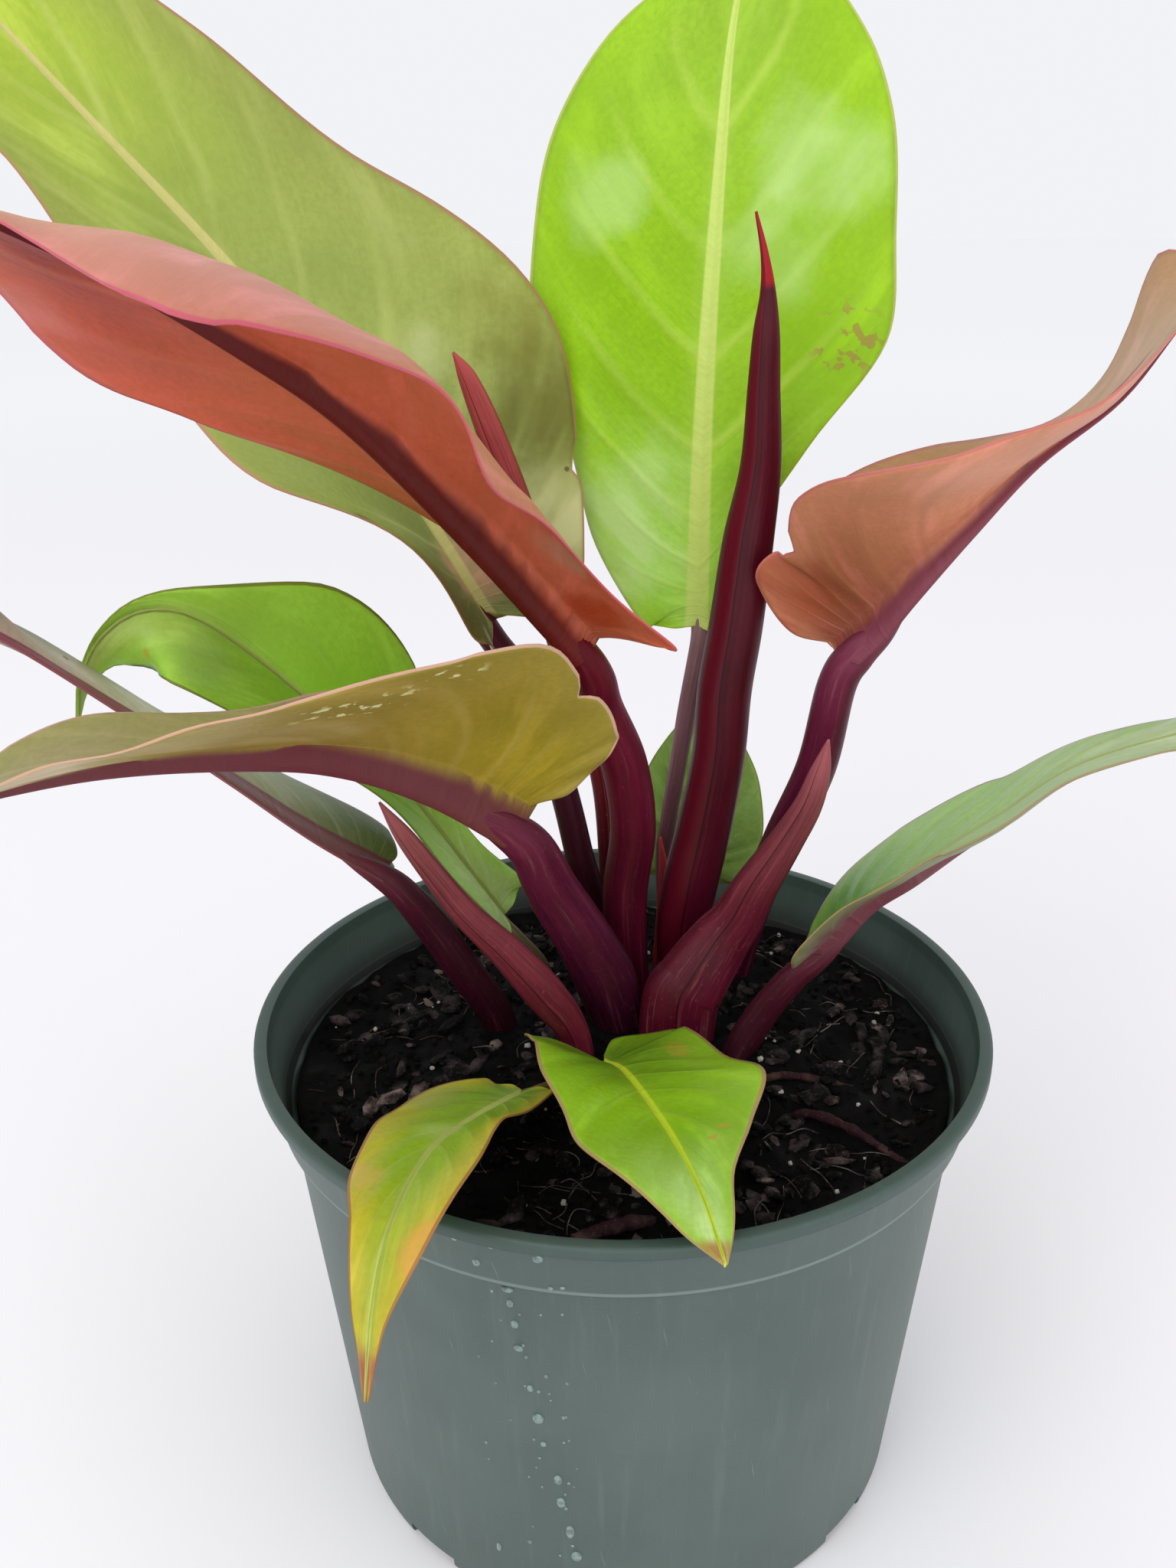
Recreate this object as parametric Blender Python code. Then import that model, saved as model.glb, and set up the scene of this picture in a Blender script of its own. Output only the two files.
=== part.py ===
"""A potted prince of orange philodendron: leaves, rolled young leaves, soil and a nursery pot.

All tables are in millimetres and degrees. The pot stands on z = 0 with its axis on z, and the
front of the plant is towards -y.
"""
import math

import bmesh
import bpy
import numpy as np

MM = 0.001

# pot
POT_HEIGHT = 114.0
RIM_RADIUS = 82.0
LIP_WIDTH = 3.0
LIP_DEPTH = 3.0
COLLAR_TOP_RADIUS = 79.8
COLLAR_LOW_RADIUS = 78.0
COLLAR_LOW_Z = 100.0
BODY_TOP_RADIUS = 75.6
BASE_RADIUS = 66.5
WALL = 1.4
FLOOR = 2.0
POT_SIDES = 64
DRAINS = 8
DRAIN_SIZE = (9.0, 14.0, 7.0)

# soil
GAP = 0.3
SOIL_LEVEL = 99.5
SOIL_RELIEF = 1.3
SOIL_RINGS = 9
SOIL_SIDES = 40

# blades
THICK = 0.8
BLADE_ROWS = 14
CURVE_STEPS = 120
# where each row of a half blade leaves the midrib and where it reaches the margin, as shares of length
VEIN_START = (0.0, 0.012, 0.025, 0.045, 0.08, 0.15, 0.26, 0.41, 0.58, 0.77, 1.0)
STATIONS = (0.0, 0.12, 0.26, 0.42, 0.58, 0.74, 0.88)
TIP_HALF = 0.5
# the rib's blunt start, as a share of its radius, and the rows it is spread over
NOSE = 0.45
NOSE_ROWS = 3
# share of the rows from which a blade flattens towards its tip
FLAT_TIP = 0.88
# the two lobes behind the midrib's start: share of the lobe's length back, share of the width out
LOBE_SHAPE = ((-0.35, 0.10), (-1.0, 0.42), (-0.68, 0.82))
# how strongly the veins sweep forward, and how far along the blade a fold goes on changing
VEIN_SWEEP = 1.4
FOLD_REACH = 0.55
MIDDLE_REACH = 0.32
FAR_START = 0.2
FAR_REACH = 0.6
LEAST_CURL = 0.1
# the rib under a blade: depth and shoulder as shares of its radius, taper, and its thinnest share
RIB_DEPTH = 1.8
SHOULDER = 0.6
SHOULDER_DEPTH = 0.8
RIB_TAPER = 0.9
RIB_THINNEST = 0.12
# the rib's width on the first row, what each row adds, and the most of a row it may take
RIB_FIRST = 0.45
RIB_GAIN = 0.2
RIB_MOST = 0.35
# places of the columns between the rib and the margin
COLUMNS = (0.36, 0.7)
# where a petiole ends below and behind the midrib's start, as shares of its radius
JOINT_DROP = 0.95
JOINT_BACK = 0.5
BEND_BACK = 2.0
STEM_SIDES = 8

COLOURS = {
    "pot_green": ((0.085, 0.125, 0.108), 0.45),
    "soil_dark": ((0.012, 0.009, 0.008), 0.95),
    "root_brown": ((0.13, 0.075, 0.05), 0.85),
    "lime_blade": ((0.30, 0.47, 0.035), 0.35),
    "olive_blade": ((0.24, 0.30, 0.045), 0.35),
    "coral_blade": ((0.42, 0.11, 0.07), 0.35),
    "bronze_blade": ((0.33, 0.13, 0.07), 0.38),
    "green_blade": ((0.15, 0.32, 0.035), 0.35),
    "maroon_stem": ((0.10, 0.012, 0.022), 0.38),
    "mauve_stem": ((0.14, 0.065, 0.075), 0.42),
    "red_spear": ((0.22, 0.03, 0.03), 0.4),
}


def half(lobe, widths, fold, curl=(0, 0)):
    """One half of a blade: lobe length, half widths at STATIONS, then fold and curl.

    A fold or a curl is given at the base and far along, or at the base, the middle and far along.
    """
    return {"lobe": lobe, "widths": widths, "fold": fold, "curl": curl}


# name: midrib points, direction the upper face looks, twist, left half, right half, rib radius,
# blade colour, then the petiole: points, radii, colour
LEAVES = {
    "upright": {
        "midrib": [(18, 36, 192), (19, 43, 239), (22, 55, 286), (25, 66, 316), (30, 77, 339)],
        "face": (-0.53, -0.80, 0.27), "twist": 0,
        "left": half(1, (14, 27, 34, 46, 48, 43, 27), (11, 8), (-9, -11)),
        "right": half(1, (8, 11, 24, 40, 40, 37, 25), (0, -10), (-5, -46)),
        "rib": 2.4, "blade": "lime_blade", "stalk": "mauve_stem",
        "petiole": [(13, 48, 90), (11, 46, 126), (12, 45, 138), (14, 43, 153), (16, 40, 169)],
        "radii": [2.5, 2.0, 2.0, 2.1, 2.3],
    },
    "broad_left": {
        "midrib": [(-31, 34, 196), (-56, 40, 236), (-85, 43, 272), (-108, 39, 299), (-124, 33, 319),
                   (-136, 26, 336)],
        "face": (0.64, -0.63, 0.44), "twist": 3,
        "left": half(8, (27, 30, 42, 35, 28, 22, 18), (39, -5), (15, -4)),
        "right": half(8, (27, 40, 51, 49, 38, 31, 22), (34, 16)),
        "rib": 3.2, "blade": "olive_blade", "stalk": "maroon_stem",
        "petiole": [(-6, 31, 90), (-7, 33, 120), (-10, 33, 135), (-14, 33, 154), (-21, 34, 177)],
        "radii": [3.4, 3.5, 3.5, 3.4, 3.3],
    },
    "red_left": {
        "midrib": [(-8, 2, 199), (-28, -14, 227), (-46, -27, 249), (-61, -39, 262), (-77, -49, 273),
                   (-89, -58, 280), (-98, -68, 286)],
        "face": (0.12, 0.71, 0.70), "twist": -28,
        "left": half(1, (26, 21, 25, 41, 46, 56, 50), (-5, 27, 13), (-57, -191, -57)),
        "right": half(10, (29, 27, 21, 23, 31, 39, 21), (44, -8), (1, -8)),
        "rib": 4.0, "blade": "coral_blade", "stalk": "maroon_stem",
        "petiole": [(3, 26, 90), (1, 22, 127), (3, 19, 148), (1, 15, 166), (-4, 10, 181)],
        "radii": [4.6, 5.3, 5.3, 5.2, 4.9],
    },
    "olive_left": {
        "midrib": [(-23, -8, 164), (-37, -16, 176), (-52, -23, 184), (-68, -31, 188), (-96, -40, 188),
                   (-128, -46, 181)],
        "face": (-0.11, 0.59, 0.80), "twist": -25,
        "left": half(6, (32, 39, 54, 48, 34, 22, 19), (26, 3), (-17, 3)),
        "right": half(10, (28, 27, 23, 14, 13, 14, 10), (60, 40), (0, 3)),
        "rib": 4.2, "blade": "olive_blade", "stalk": "maroon_stem",
        "petiole": [(1, 17, 90), (-3, 13, 110), (-8, 9, 124), (-15, 2, 141)],
        "radii": [5.4, 7.4, 6.8, 6.0],
    },
    "arched_left": {
        "midrib": [(-29, 30, 120), (-39, 29, 136), (-52, 27, 157), (-65, 25, 172), (-81, 22, 189),
                   (-93, 17, 200), (-103, 13, 202), (-111, 9, 197), (-115, 6, 189),
                   (-116, 4, 181)],
        "face": (0.65, -0.20, 0.73), "twist": -21,
        "left": half(1, (18, 17, 12, 14, 18, 20, 8), (25, 0), (0, 12)),
        "right": half(1, (14, 9, 10, 23, 24, 6, 2), (9, 42), (3, 10)),
        "rib": 1.3, "blade": "green_blade", "stalk": "mauve_stem",
        "petiole": [(-16, 28, 90), (-19, 28, 106), (-25, 29, 114)],
        "radii": [1.6, 1.6, 1.5],
    },
    "slender_left": {
        "midrib": [(-54, 6, 144), (-68, 1, 156), (-83, -4, 171), (-99, -12, 188), (-118, -21, 207),
                   (-128, -28, 215)],
        "face": (-0.39, 0.91, 0.11), "twist": 6,
        "left": half(4, (17, 20, 23, 23, 22, 17, 10), (61, 76), (35, 36)),
        "right": half(5, (14, 16, 17, 16, 13, 9, 5), (92, 78), (0, 0)),
        "rib": 2.9, "blade": "green_blade", "stalk": "maroon_stem",
        "petiole": [(-28, 14, 90), (-30, 12, 103), (-36, 10, 115), (-44, 8, 130)],
        "radii": [3.8, 4.1, 4.2, 4.0],
    },
    "bronze_right": {
        "midrib": [(51, 16, 193), (56, 14, 199), (61, 10, 208), (70, 5, 222), (80, 0, 236),
                   (92, -6, 248), (100, -10, 261), (109, -15, 276)],
        "face": (0.07, 0.95, 0.30), "twist": 24,
        "left": half(9, (26, 32, 34, 31, 21, 29, 36), (122, 51), (26, 21)),
        "right": half(7, (28, 27, 38, 43, 34, 21, 8), (8, -56), (2, 38)),
        "rib": 4.0, "blade": "bronze_blade", "stalk": "maroon_stem",
        "petiole": [(27, 38, 90), (33, 36, 118), (39, 31, 140), (45, 23, 162)],
        "radii": [4.0, 4.2, 4.6, 4.6],
    },
    "green_right": {
        "midrib": [(45, -2, 130), (53, -2, 140), (62, -3, 147), (72, -3, 155), (80, -5, 162),
                   (95, -8, 175), (121, -17, 188)],
        "face": (-0.62, -0.19, 0.76), "twist": -4,
        "left": half(6, (13, 21, 28, 27, 22, 14, 11), (-14, -21)),
        "right": half(6, (19, 22, 25, 26, 25, 21, 12), (40, 23), (10, 21)),
        "rib": 2.4, "blade": "green_blade", "stalk": "maroon_stem",
        "petiole": [(24, -2, 90), (27, 1, 99), (33, 2, 110), (39, 0, 120)],
        "radii": [3.4, 3.8, 3.6, 3.2],
    },
    "small_back": {
        "midrib": [(18, 50, 122), (20, 52, 138), (21, 53, 154), (22, 53, 170)],
        "face": (0.0, -0.9, 0.3), "twist": 0,
        "left": half(2, (13, 16, 17, 16, 14, 10, 5), (10, 10)),
        "right": half(2, (12, 15, 17, 16, 14, 10, 5), (10, 10)),
        "rib": 1.2, "blade": "green_blade", "stalk": "mauve_stem",
        "petiole": [(21, 49, 90), (20, 49, 106)],
        "radii": [1.5, 1.4],
    },
    "small_front_right": {
        "midrib": [(-4, -13, 106), (1, -22, 109), (9, -48, 114), (14, -71, 118), (17, -92, 120)],
        "face": (0.12, 0.12, 0.99), "twist": 4,
        "left": half(10, (21, 21, 21, 23, 15, 7, 4), (13, 26)),
        "right": half(12, (20, 22, 23, 21, 20, 14, 7), (23, 8)),
        "rib": 1.4, "blade": "lime_blade", "stalk": "mauve_stem",
        "petiole": [(1, -3, 90), (-2, -6, 98)],
        "radii": [1.6, 1.5],
    },
    "small_front_left": {
        "midrib": [(-21, -24, 106), (-30, -39, 110), (-36, -59, 117), (-39, -84, 122),
                   (-41, -96, 115), (-42, -103, 101)],
        "face": (-0.13, -0.01, 0.99), "twist": 3,
        "left": half(2, (9, 11, 12, 14, 14, 10, 3), (13, 17)),
        "right": half(1, (11, 17, 16, 13, 11, 6, 3), (1, 13)),
        "rib": 1.4, "blade": "green_blade", "stalk": "mauve_stem",
        "petiole": [(-11, -9, 90), (-14, -14, 100)],
        "radii": [1.6, 1.5],
    },
}

# rolled young leaves and sheaths: points, half widths, depth share of width at foot and tip, colour
SPEARS = {
    "centre_spear": ([(17, 31, 90), (15, 29, 112), (17, 28, 129), (20, 28, 144), (23, 27, 163),
                      (24, 26, 180), (26, 25, 195), (28, 24, 214), (30, 23, 230), (30, 22, 246),
                      (30, 21, 257), (30, 21, 265), (29, 20, 272), (27, 20, 280)],
                     [5.0, 6.2, 6.9, 6.8, 6.4, 6.4, 6.0, 5.3, 4.4, 3.5, 2.8, 1.8, 0.9, 0.3],
                     (0.8, 0.8), "maroon_stem"),
    "left_sheath": ([(-8, 1, 90), (-11, -2, 107), (-17, -5, 119), (-25, -9, 132), (-33, -12, 143),
                     (-39, -15, 154), (-44, -18, 164), (-48, -20, 172)],
                    [3.2, 3.9, 4.8, 4.0, 3.3, 2.7, 2.0, 0.3], (0.75, 0.75), "red_spear"),
    "right_sheath": ([(13, 7, 90), (14, 8, 108), (17, 9, 114), (23, 11, 123), (27, 11, 129),
                      (31, 10, 138), (37, 8, 150), (41, 5, 160), (43, 3, 169), (44, 1, 177)],
                     [9.0, 9.6, 9.0, 7.5, 6.4, 5.4, 4.1, 3.3, 2.3, 0.3], (0.45, 0.7), "red_spear"),
    "back_spear": ([(0, 42, 90), (-2, 41, 117), (-4, 36, 154), (-12, 31, 185), (-19, 30, 212),
                    (-26, 27, 234), (-31, 25, 248), (-34, 24, 254)],
                   [3.0, 3.0, 3.1, 3.3, 3.3, 3.2, 2.2, 0.3], (0.8, 0.8), "red_spear"),
    "bud_tip": ([(9, 39, 90), (11, 39, 122), (10, 39, 137)], [1.6, 1.6, 0.3], (0.9, 0.9),
                "red_spear"),
}

ROOTS = {
    "root_long": ([(34, -22, 97), (40, -24, 100.4), (46, -28, 101), (51, -33, 101), (59, -40, 99)],
                  [0.8, 1.0, 1.1, 1.0, 0.6]),
    "root_thin": ([(31, -8, 97), (35, -10, 100.4), (42, -11, 100.6), (52, -12, 98.5)],
                  [0.8, 0.9, 0.9, 0.7]),
    "root_stub": ([(6, -56, 98), (2, -60, 101.4), (-4, -63, 102), (-9, -66, 102.2)],
                  [1.4, 1.5, 1.4, 1.1]),
}


def unit(vector):
    """Vectors scaled to length one."""
    return vector / np.linalg.norm(vector, axis=-1, keepdims=True)


def through(points, share):
    """A smooth curve through the points, read at shares 0 to 1 of its way."""
    points = np.asarray(points, float)
    last = len(points) - 1
    place = np.clip(np.asarray(share, float), 0, 1) * last
    index = np.minimum(place.astype(int), last - 1)
    f = (place - index)[..., None]
    padded = np.vstack([2 * points[0] - points[1], points, 2 * points[-1] - points[-2]])
    a, b, c, d = padded[index], padded[index + 1], padded[index + 2], padded[index + 3]
    return 0.5 * (2 * b + (c - a) * f + (2 * a - 5 * b + 4 * c - d) * f**2
                  + (3 * b - a - 3 * c + d) * f**3)


class Midrib:
    """A curve in space read by distance along it, running on straight behind its start."""

    def __init__(self, points):
        self.points = through(points, np.linspace(0, 1, CURVE_STEPS))
        steps = np.linalg.norm(np.diff(self.points, axis=0), axis=1)
        self.run = np.concatenate([[0], np.cumsum(steps)])
        self.length = self.run[-1]
        self.heading = unit(np.gradient(self.points, axis=0))

    def read(self, x):
        on = np.clip(x, 0, self.length)
        place = np.stack([np.interp(on, self.run, self.points[:, k]) for k in range(3)], -1)
        ahead = unit(np.stack([np.interp(on, self.run, self.heading[:, k]) for k in range(3)], -1))
        return place + ahead * (x - on)[..., None], ahead


def outline(length, side):
    """Rows of one half: midrib start, margin x and margin y."""
    lobe, widths = side["lobe"], side["widths"]
    rows = [(0, back * lobe, out * widths[0]) for back, out in LOBE_SHAPE]
    rows += [(0, s * length, w) for s, w in zip(STATIONS, widths)]
    rows.append((0, length, TIP_HALF))
    rows = np.array(rows, float)
    rows[:, 0] = np.array(VEIN_START) * length
    return rows


def smooth_step(x, low, high):
    """A soft change from 0 to 1 between two values."""
    t = np.clip((x - low) / (high - low), 0, 1)
    return t * t * (3 - 2 * t)


def changing(values, x):
    """A fold or curl at a share of the way along the blade."""
    if len(values) == 2:
        return values[0] + (values[1] - values[0]) * smooth_step(x, 0, FOLD_REACH)
    return (values[0] + (values[1] - values[0]) * smooth_step(x, 0, MIDDLE_REACH)
            + (values[2] - values[1]) * smooth_step(x, FAR_START, FAR_REACH))


def facing(leaf, ahead, share):
    """Upward normals square to the heading, turned by the leaf's twist."""
    face = np.asarray(leaf["face"], float)
    normal = unit(face - ahead * (ahead @ face)[..., None])
    turn = np.radians(leaf["twist"]) * np.clip(share, 0, 1)[..., None]
    return unit(normal * np.cos(turn) + np.cross(ahead, normal) * np.sin(turn))


def half_surface(leaf, rib, side, sign, rows):
    """Points of one half blade, rib radius at each row and depth of the rib at each point."""
    t = np.linspace(0, 1, rows)
    line = through(outline(rib.length, side), t)
    start, reach, across = line[:, :1], line[:, 1:2], line[:, 2:3]
    row_length = np.hypot(reach - start, across)
    order = np.arange(rows)[:, None]
    full = leaf["rib"] * np.clip(1 - start / rib.length, RIB_THINNEST, 1) ** RIB_TAPER
    radius = np.minimum(full * np.minimum(1, RIB_FIRST + RIB_GAIN * order), RIB_MOST * row_length)
    near = radius / row_length
    share = np.hstack([0 * near, SHOULDER * near, near,
                       *[near + (1 - near) * place for place in COLUMNS], 0 * near + 1])
    x = start + (reach - start) * share**VEIN_SWEEP
    y = across * share
    place, ahead = rib.read(x)
    normal = facing(leaf, ahead, x / rib.length)
    beside = np.cross(ahead, normal)
    flat = smooth_step(t, FLAT_TIP, 1)[:, None]
    fold = np.radians(changing(side["fold"], x / rib.length)) * (1 - flat)
    curl = changing(side["curl"], x / rib.length)
    curl = np.radians(np.where(np.abs(curl) < LEAST_CURL, LEAST_CURL, curl)) / max(side["widths"])
    bend = fold + curl * y
    out = (np.sin(bend) - np.sin(fold)) / curl
    rise = (np.cos(fold) - np.cos(bend)) / curl
    points = place + sign * beside * out[..., None] + normal * rise[..., None]
    profile = np.zeros(share.shape[1])
    profile[:2] = 1, SHOULDER_DEPTH
    depth = RIB_DEPTH * full * profile
    return points, depth, normal


def grid_normals(points):
    """Normals of a grid of points."""
    along = np.gradient(points, axis=0)
    over = np.gradient(points, axis=1)
    return unit(np.cross(over, along))


def blade_body(leaf):
    """Vertices and triangles of a closed blade, split alike on both faces."""
    rib = Midrib(leaf["midrib"])
    left, left_depth, up = half_surface(leaf, rib, leaf["left"], -1, BLADE_ROWS)
    right, right_depth, _ = half_surface(leaf, rib, leaf["right"], 1, BLADE_ROWS)
    middle = np.concatenate([left[:, ::-1], right[:, 1:]], axis=1)
    depth = np.concatenate([left_depth[:, ::-1], right_depth[:, 1:]], axis=1)
    normal = grid_normals(middle)
    centre = left.shape[1] - 1
    if np.sum(normal[:, centre] * up[:, 0]) < 0:
        normal = -normal
    ribward = np.where(depth[..., None] > 0, up[:, :1], normal)
    top = middle + normal * THICK / 2
    low = middle - normal * THICK / 2 - ribward * depth[..., None]
    back = unit(middle[1, centre] - middle[0, centre]) * NOSE * leaf["rib"]
    for row in range(NOSE_ROWS):
        low[row, centre - 1:centre + 2] -= back * (1 - row / NOSE_ROWS)
    rows, columns = depth.shape
    verts = np.concatenate([top.reshape(-1, 3), low.reshape(-1, 3)])
    under = rows * columns
    faces = []
    for i in range(rows - 1):
        for j in range(columns - 1):
            a, b = i * columns + j, i * columns + j + 1
            d, c = a + columns, b + columns
            for tri in ((a, b, c), (a, c, d)) if j >= centre else ((a, b, d), (b, c, d)):
                faces.append(tri)
                faces.append(tuple(k + under for k in reversed(tri)))
    edge = [j for j in range(columns)]
    edge += [i * columns + columns - 1 for i in range(1, rows)]
    edge += [(rows - 1) * columns + j for j in range(columns - 2, -1, -1)]
    edge += [i * columns for i in range(rows - 2, 0, -1)]
    for a, b in zip(edge, edge[1:] + edge[:1]):
        faces.append((a, b, b + under))
        faces.append((a, b + under, a + under))
    return verts, faces


def stem_body(points, radii, flat, rings, grow=0.0):
    """Vertices and faces of a tapering stem, wider across the view than it is deep."""
    share = np.linspace(0, 1, rings)
    line = through(points, share)
    radius = through(np.asarray(radii, float)[:, None], share)
    ahead = unit(np.gradient(line, axis=0))
    line[0] -= ahead[0] * grow
    line[-1] += ahead[-1] * grow
    beside = unit(np.cross(ahead, np.array([0.0, -1.0, 0.3])))
    inward = np.cross(beside, ahead)
    thin = np.linspace(flat[0], flat[1], rings)[:, None]
    verts = []
    for k in range(STEM_SIDES):
        angle = 2 * math.pi * k / STEM_SIDES
        verts.append(line + beside * (radius + grow) * math.cos(angle)
                     + inward * (radius * thin + grow) * math.sin(angle))
    verts = np.stack(verts, axis=1).reshape(-1, 3)
    faces = [tuple(range(STEM_SIDES)), tuple((rings - 1) * STEM_SIDES + k
                                             for k in reversed(range(STEM_SIDES)))]
    for i in range(rings - 1):
        for k in range(STEM_SIDES):
            n = (k + 1) % STEM_SIDES
            a, b = i * STEM_SIDES + k, i * STEM_SIDES + n
            faces.append((a, a + STEM_SIDES, b + STEM_SIDES, b))
    return verts, faces


def petiole_path(leaf):
    """The petiole's points and radii, running in line with the midrib just under the blade."""
    rib = Midrib(leaf["midrib"])
    joint, ahead = rib.read(np.array([0.0]))
    up = facing(leaf, ahead, np.array([0.0]))[0]
    joint, ahead = joint[0], ahead[0]
    radius = leaf["rib"]
    end = joint - up * (JOINT_DROP * radius + THICK / 2 + GAP)
    end = end - ahead * (JOINT_BACK * radius + 3 * GAP)
    turn = unit(ahead + unit(end - np.array(leaf["petiole"][-1], float)))
    bend = end - turn * BEND_BACK * radius
    points = [*leaf["petiole"], tuple(bend), tuple(end)]
    return points, [*leaf["radii"], radius, radius]


def add_body(name, body, colour):
    """A closed mesh object with its own material."""
    verts, faces = body
    mesh = bpy.data.meshes.new(name)
    mesh.from_pydata((np.asarray(verts) * MM).tolist(), [], faces)
    shape = bmesh.new()
    shape.from_mesh(mesh)
    bmesh.ops.recalc_face_normals(shape, faces=shape.faces)
    shape.to_mesh(mesh)
    shape.free()
    for face in mesh.polygons:
        face.use_smooth = True
    thing = bpy.data.objects.new(name, mesh)
    bpy.context.scene.collection.objects.link(thing)
    paint(thing, colour)
    return thing


def paint(thing, colour):
    """A Principled material of its own for the object."""
    rgb, rough = COLOURS[colour]
    material = bpy.data.materials.new(thing.name + "_" + colour)
    material.use_nodes = True
    shader = material.node_tree.nodes["Principled BSDF"]
    shader.inputs["Base Color"].default_value = (*rgb, 1)
    shader.inputs["Roughness"].default_value = rough
    shader.inputs["Metallic"].default_value = 0
    thing.data.materials.append(material)


def cut(thing, tool):
    """Take the tool's shape out of the object and drop the tool."""
    step = thing.modifiers.new("cut", "BOOLEAN")
    step.operation = "DIFFERENCE"
    step.solver = "EXACT"
    step.object = tool
    bpy.context.view_layer.update()
    graph = bpy.context.evaluated_depsgraph_get()
    mesh = bpy.data.meshes.new_from_object(thing.evaluated_get(graph))
    thing.modifiers.clear()
    thing.data = mesh
    bpy.data.objects.remove(tool, do_unlink=True)


def turned(profile, sides):
    """Vertices and faces of a closed profile (radius, height) turned about z."""
    count = len(profile)
    verts = []
    for k in range(sides):
        angle = 2 * math.pi * k / sides
        verts += [(r * math.cos(angle), r * math.sin(angle), z) for r, z in profile]
    faces = []
    for k in range(sides):
        n = (k + 1) % sides
        for i in range(count):
            j = (i + 1) % count
            faces.append((k * count + i, n * count + i, n * count + j, k * count + j))
    return verts, faces


def capped(profile, sides):
    """A turned open profile, its two ends closed on the axis."""
    count = len(profile)
    verts, faces = turned(profile, sides)
    faces = [f for f in faces if not (f[0] % count == count - 1 and f[2] % count == 0)]
    for end in (0, count - 1):
        faces.append(tuple(k * count + end for k in range(sides)))
    return verts, faces


def add_pot():
    """The nursery pot: flat lip, collar band, tapering body and drain openings at the foot."""
    step_z = COLLAR_LOW_Z - 1.0
    outer = [(BASE_RADIUS - 1.5, 0), (BASE_RADIUS, 1.5), (BODY_TOP_RADIUS, step_z),
             (COLLAR_LOW_RADIUS, COLLAR_LOW_Z), (COLLAR_TOP_RADIUS, POT_HEIGHT - LIP_DEPTH - 0.8),
             (RIM_RADIUS, POT_HEIGHT - LIP_DEPTH), (RIM_RADIUS, POT_HEIGHT - 0.7),
             (RIM_RADIUS - 0.7, POT_HEIGHT)]
    inner = [(RIM_RADIUS - LIP_WIDTH + 0.5, POT_HEIGHT), (RIM_RADIUS - LIP_WIDTH, POT_HEIGHT - 0.6),
             (COLLAR_LOW_RADIUS - WALL, COLLAR_LOW_Z + 0.4), (BODY_TOP_RADIUS - WALL, step_z - 1.0),
             (BASE_RADIUS - WALL, FLOOR)]
    pot = add_body("pot", capped([*outer, *inner], POT_SIDES), "pot_green")
    for k in range(DRAINS):
        bpy.ops.mesh.primitive_cube_add(size=1)
        tool = bpy.context.object
        for v in tool.data.vertices:
            angle = 2 * math.pi * (k + 0.1) / DRAINS
            x = v.co.x * DRAIN_SIZE[0] + BASE_RADIUS
            y = v.co.y * DRAIN_SIZE[1]
            v.co = ((x * math.cos(angle) - y * math.sin(angle)) * MM,
                    (x * math.sin(angle) + y * math.cos(angle)) * MM, v.co.z * DRAIN_SIZE[2] * MM)
        cut(pot, tool)
    return pot


def soil_height(x, y):
    """The lumpy level of the soil."""
    lumps = (math.sin(0.21 * x + 1.3) * math.cos(0.17 * y)
             + 0.7 * math.sin(0.43 * y - 0.31 * x + 0.6)
             + 0.5 * math.cos(0.61 * x + 0.37 * y))
    return SOIL_LEVEL + SOIL_RELIEF * lumps / 2


def add_soil():
    """Soil filling the pot to a lumpy top, with a plain hole for every stem and root."""
    step_z = COLLAR_LOW_Z - 1.0
    wall = [(BASE_RADIUS - WALL - GAP, FLOOR + GAP), (BODY_TOP_RADIUS - WALL - GAP, step_z - 1.2)]
    top_radius = BODY_TOP_RADIUS - WALL - GAP
    profile = [*wall]
    profile += [(top_radius * (1 - i / SOIL_RINGS), SOIL_LEVEL) for i in range(SOIL_RINGS)]
    verts, faces = capped(profile, SOIL_SIDES)
    verts = [(x, y, soil_height(x, y) if z == SOIL_LEVEL else z) for x, y, z in verts]
    soil = add_body("soil", (verts, faces), "soil_dark")
    return soil


def add_stem(soil, name, points, radii, flat, colour):
    """A stem standing in a plain hole in the soil."""
    rings = 2 + 2 * len(points)
    add_body(name, stem_body(points, radii, flat, rings), colour)
    cut(soil, add_body("hole", stem_body(points, radii, flat, rings, GAP), colour))


def build():
    """Every body of the plant and its pot."""
    for thing in list(bpy.data.objects):
        bpy.data.objects.remove(thing, do_unlink=True)
    add_pot()
    soil = add_soil()
    for name, leaf in LEAVES.items():
        points, radii = petiole_path(leaf)
        add_stem(soil, "petiole_" + name, points, radii, (0.85, 0.95), leaf["stalk"])
        add_body("blade_" + name, blade_body(leaf), leaf["blade"])
    for name, (points, radii, flat, colour) in SPEARS.items():
        add_stem(soil, name, points, radii, flat, colour)
    for name, (points, radii) in ROOTS.items():
        add_stem(soil, name, points, radii, (1, 1), "root_brown")


build()
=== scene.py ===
"""Looks of a potted prince of orange philodendron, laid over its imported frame.

Lengths in the tables are in millimetres, angles in degrees and colours in display values, 0 to 255.
"""
import math
import random

import bmesh
import bpy
import numpy as np
from mathutils import Matrix, Vector, noise


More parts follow.
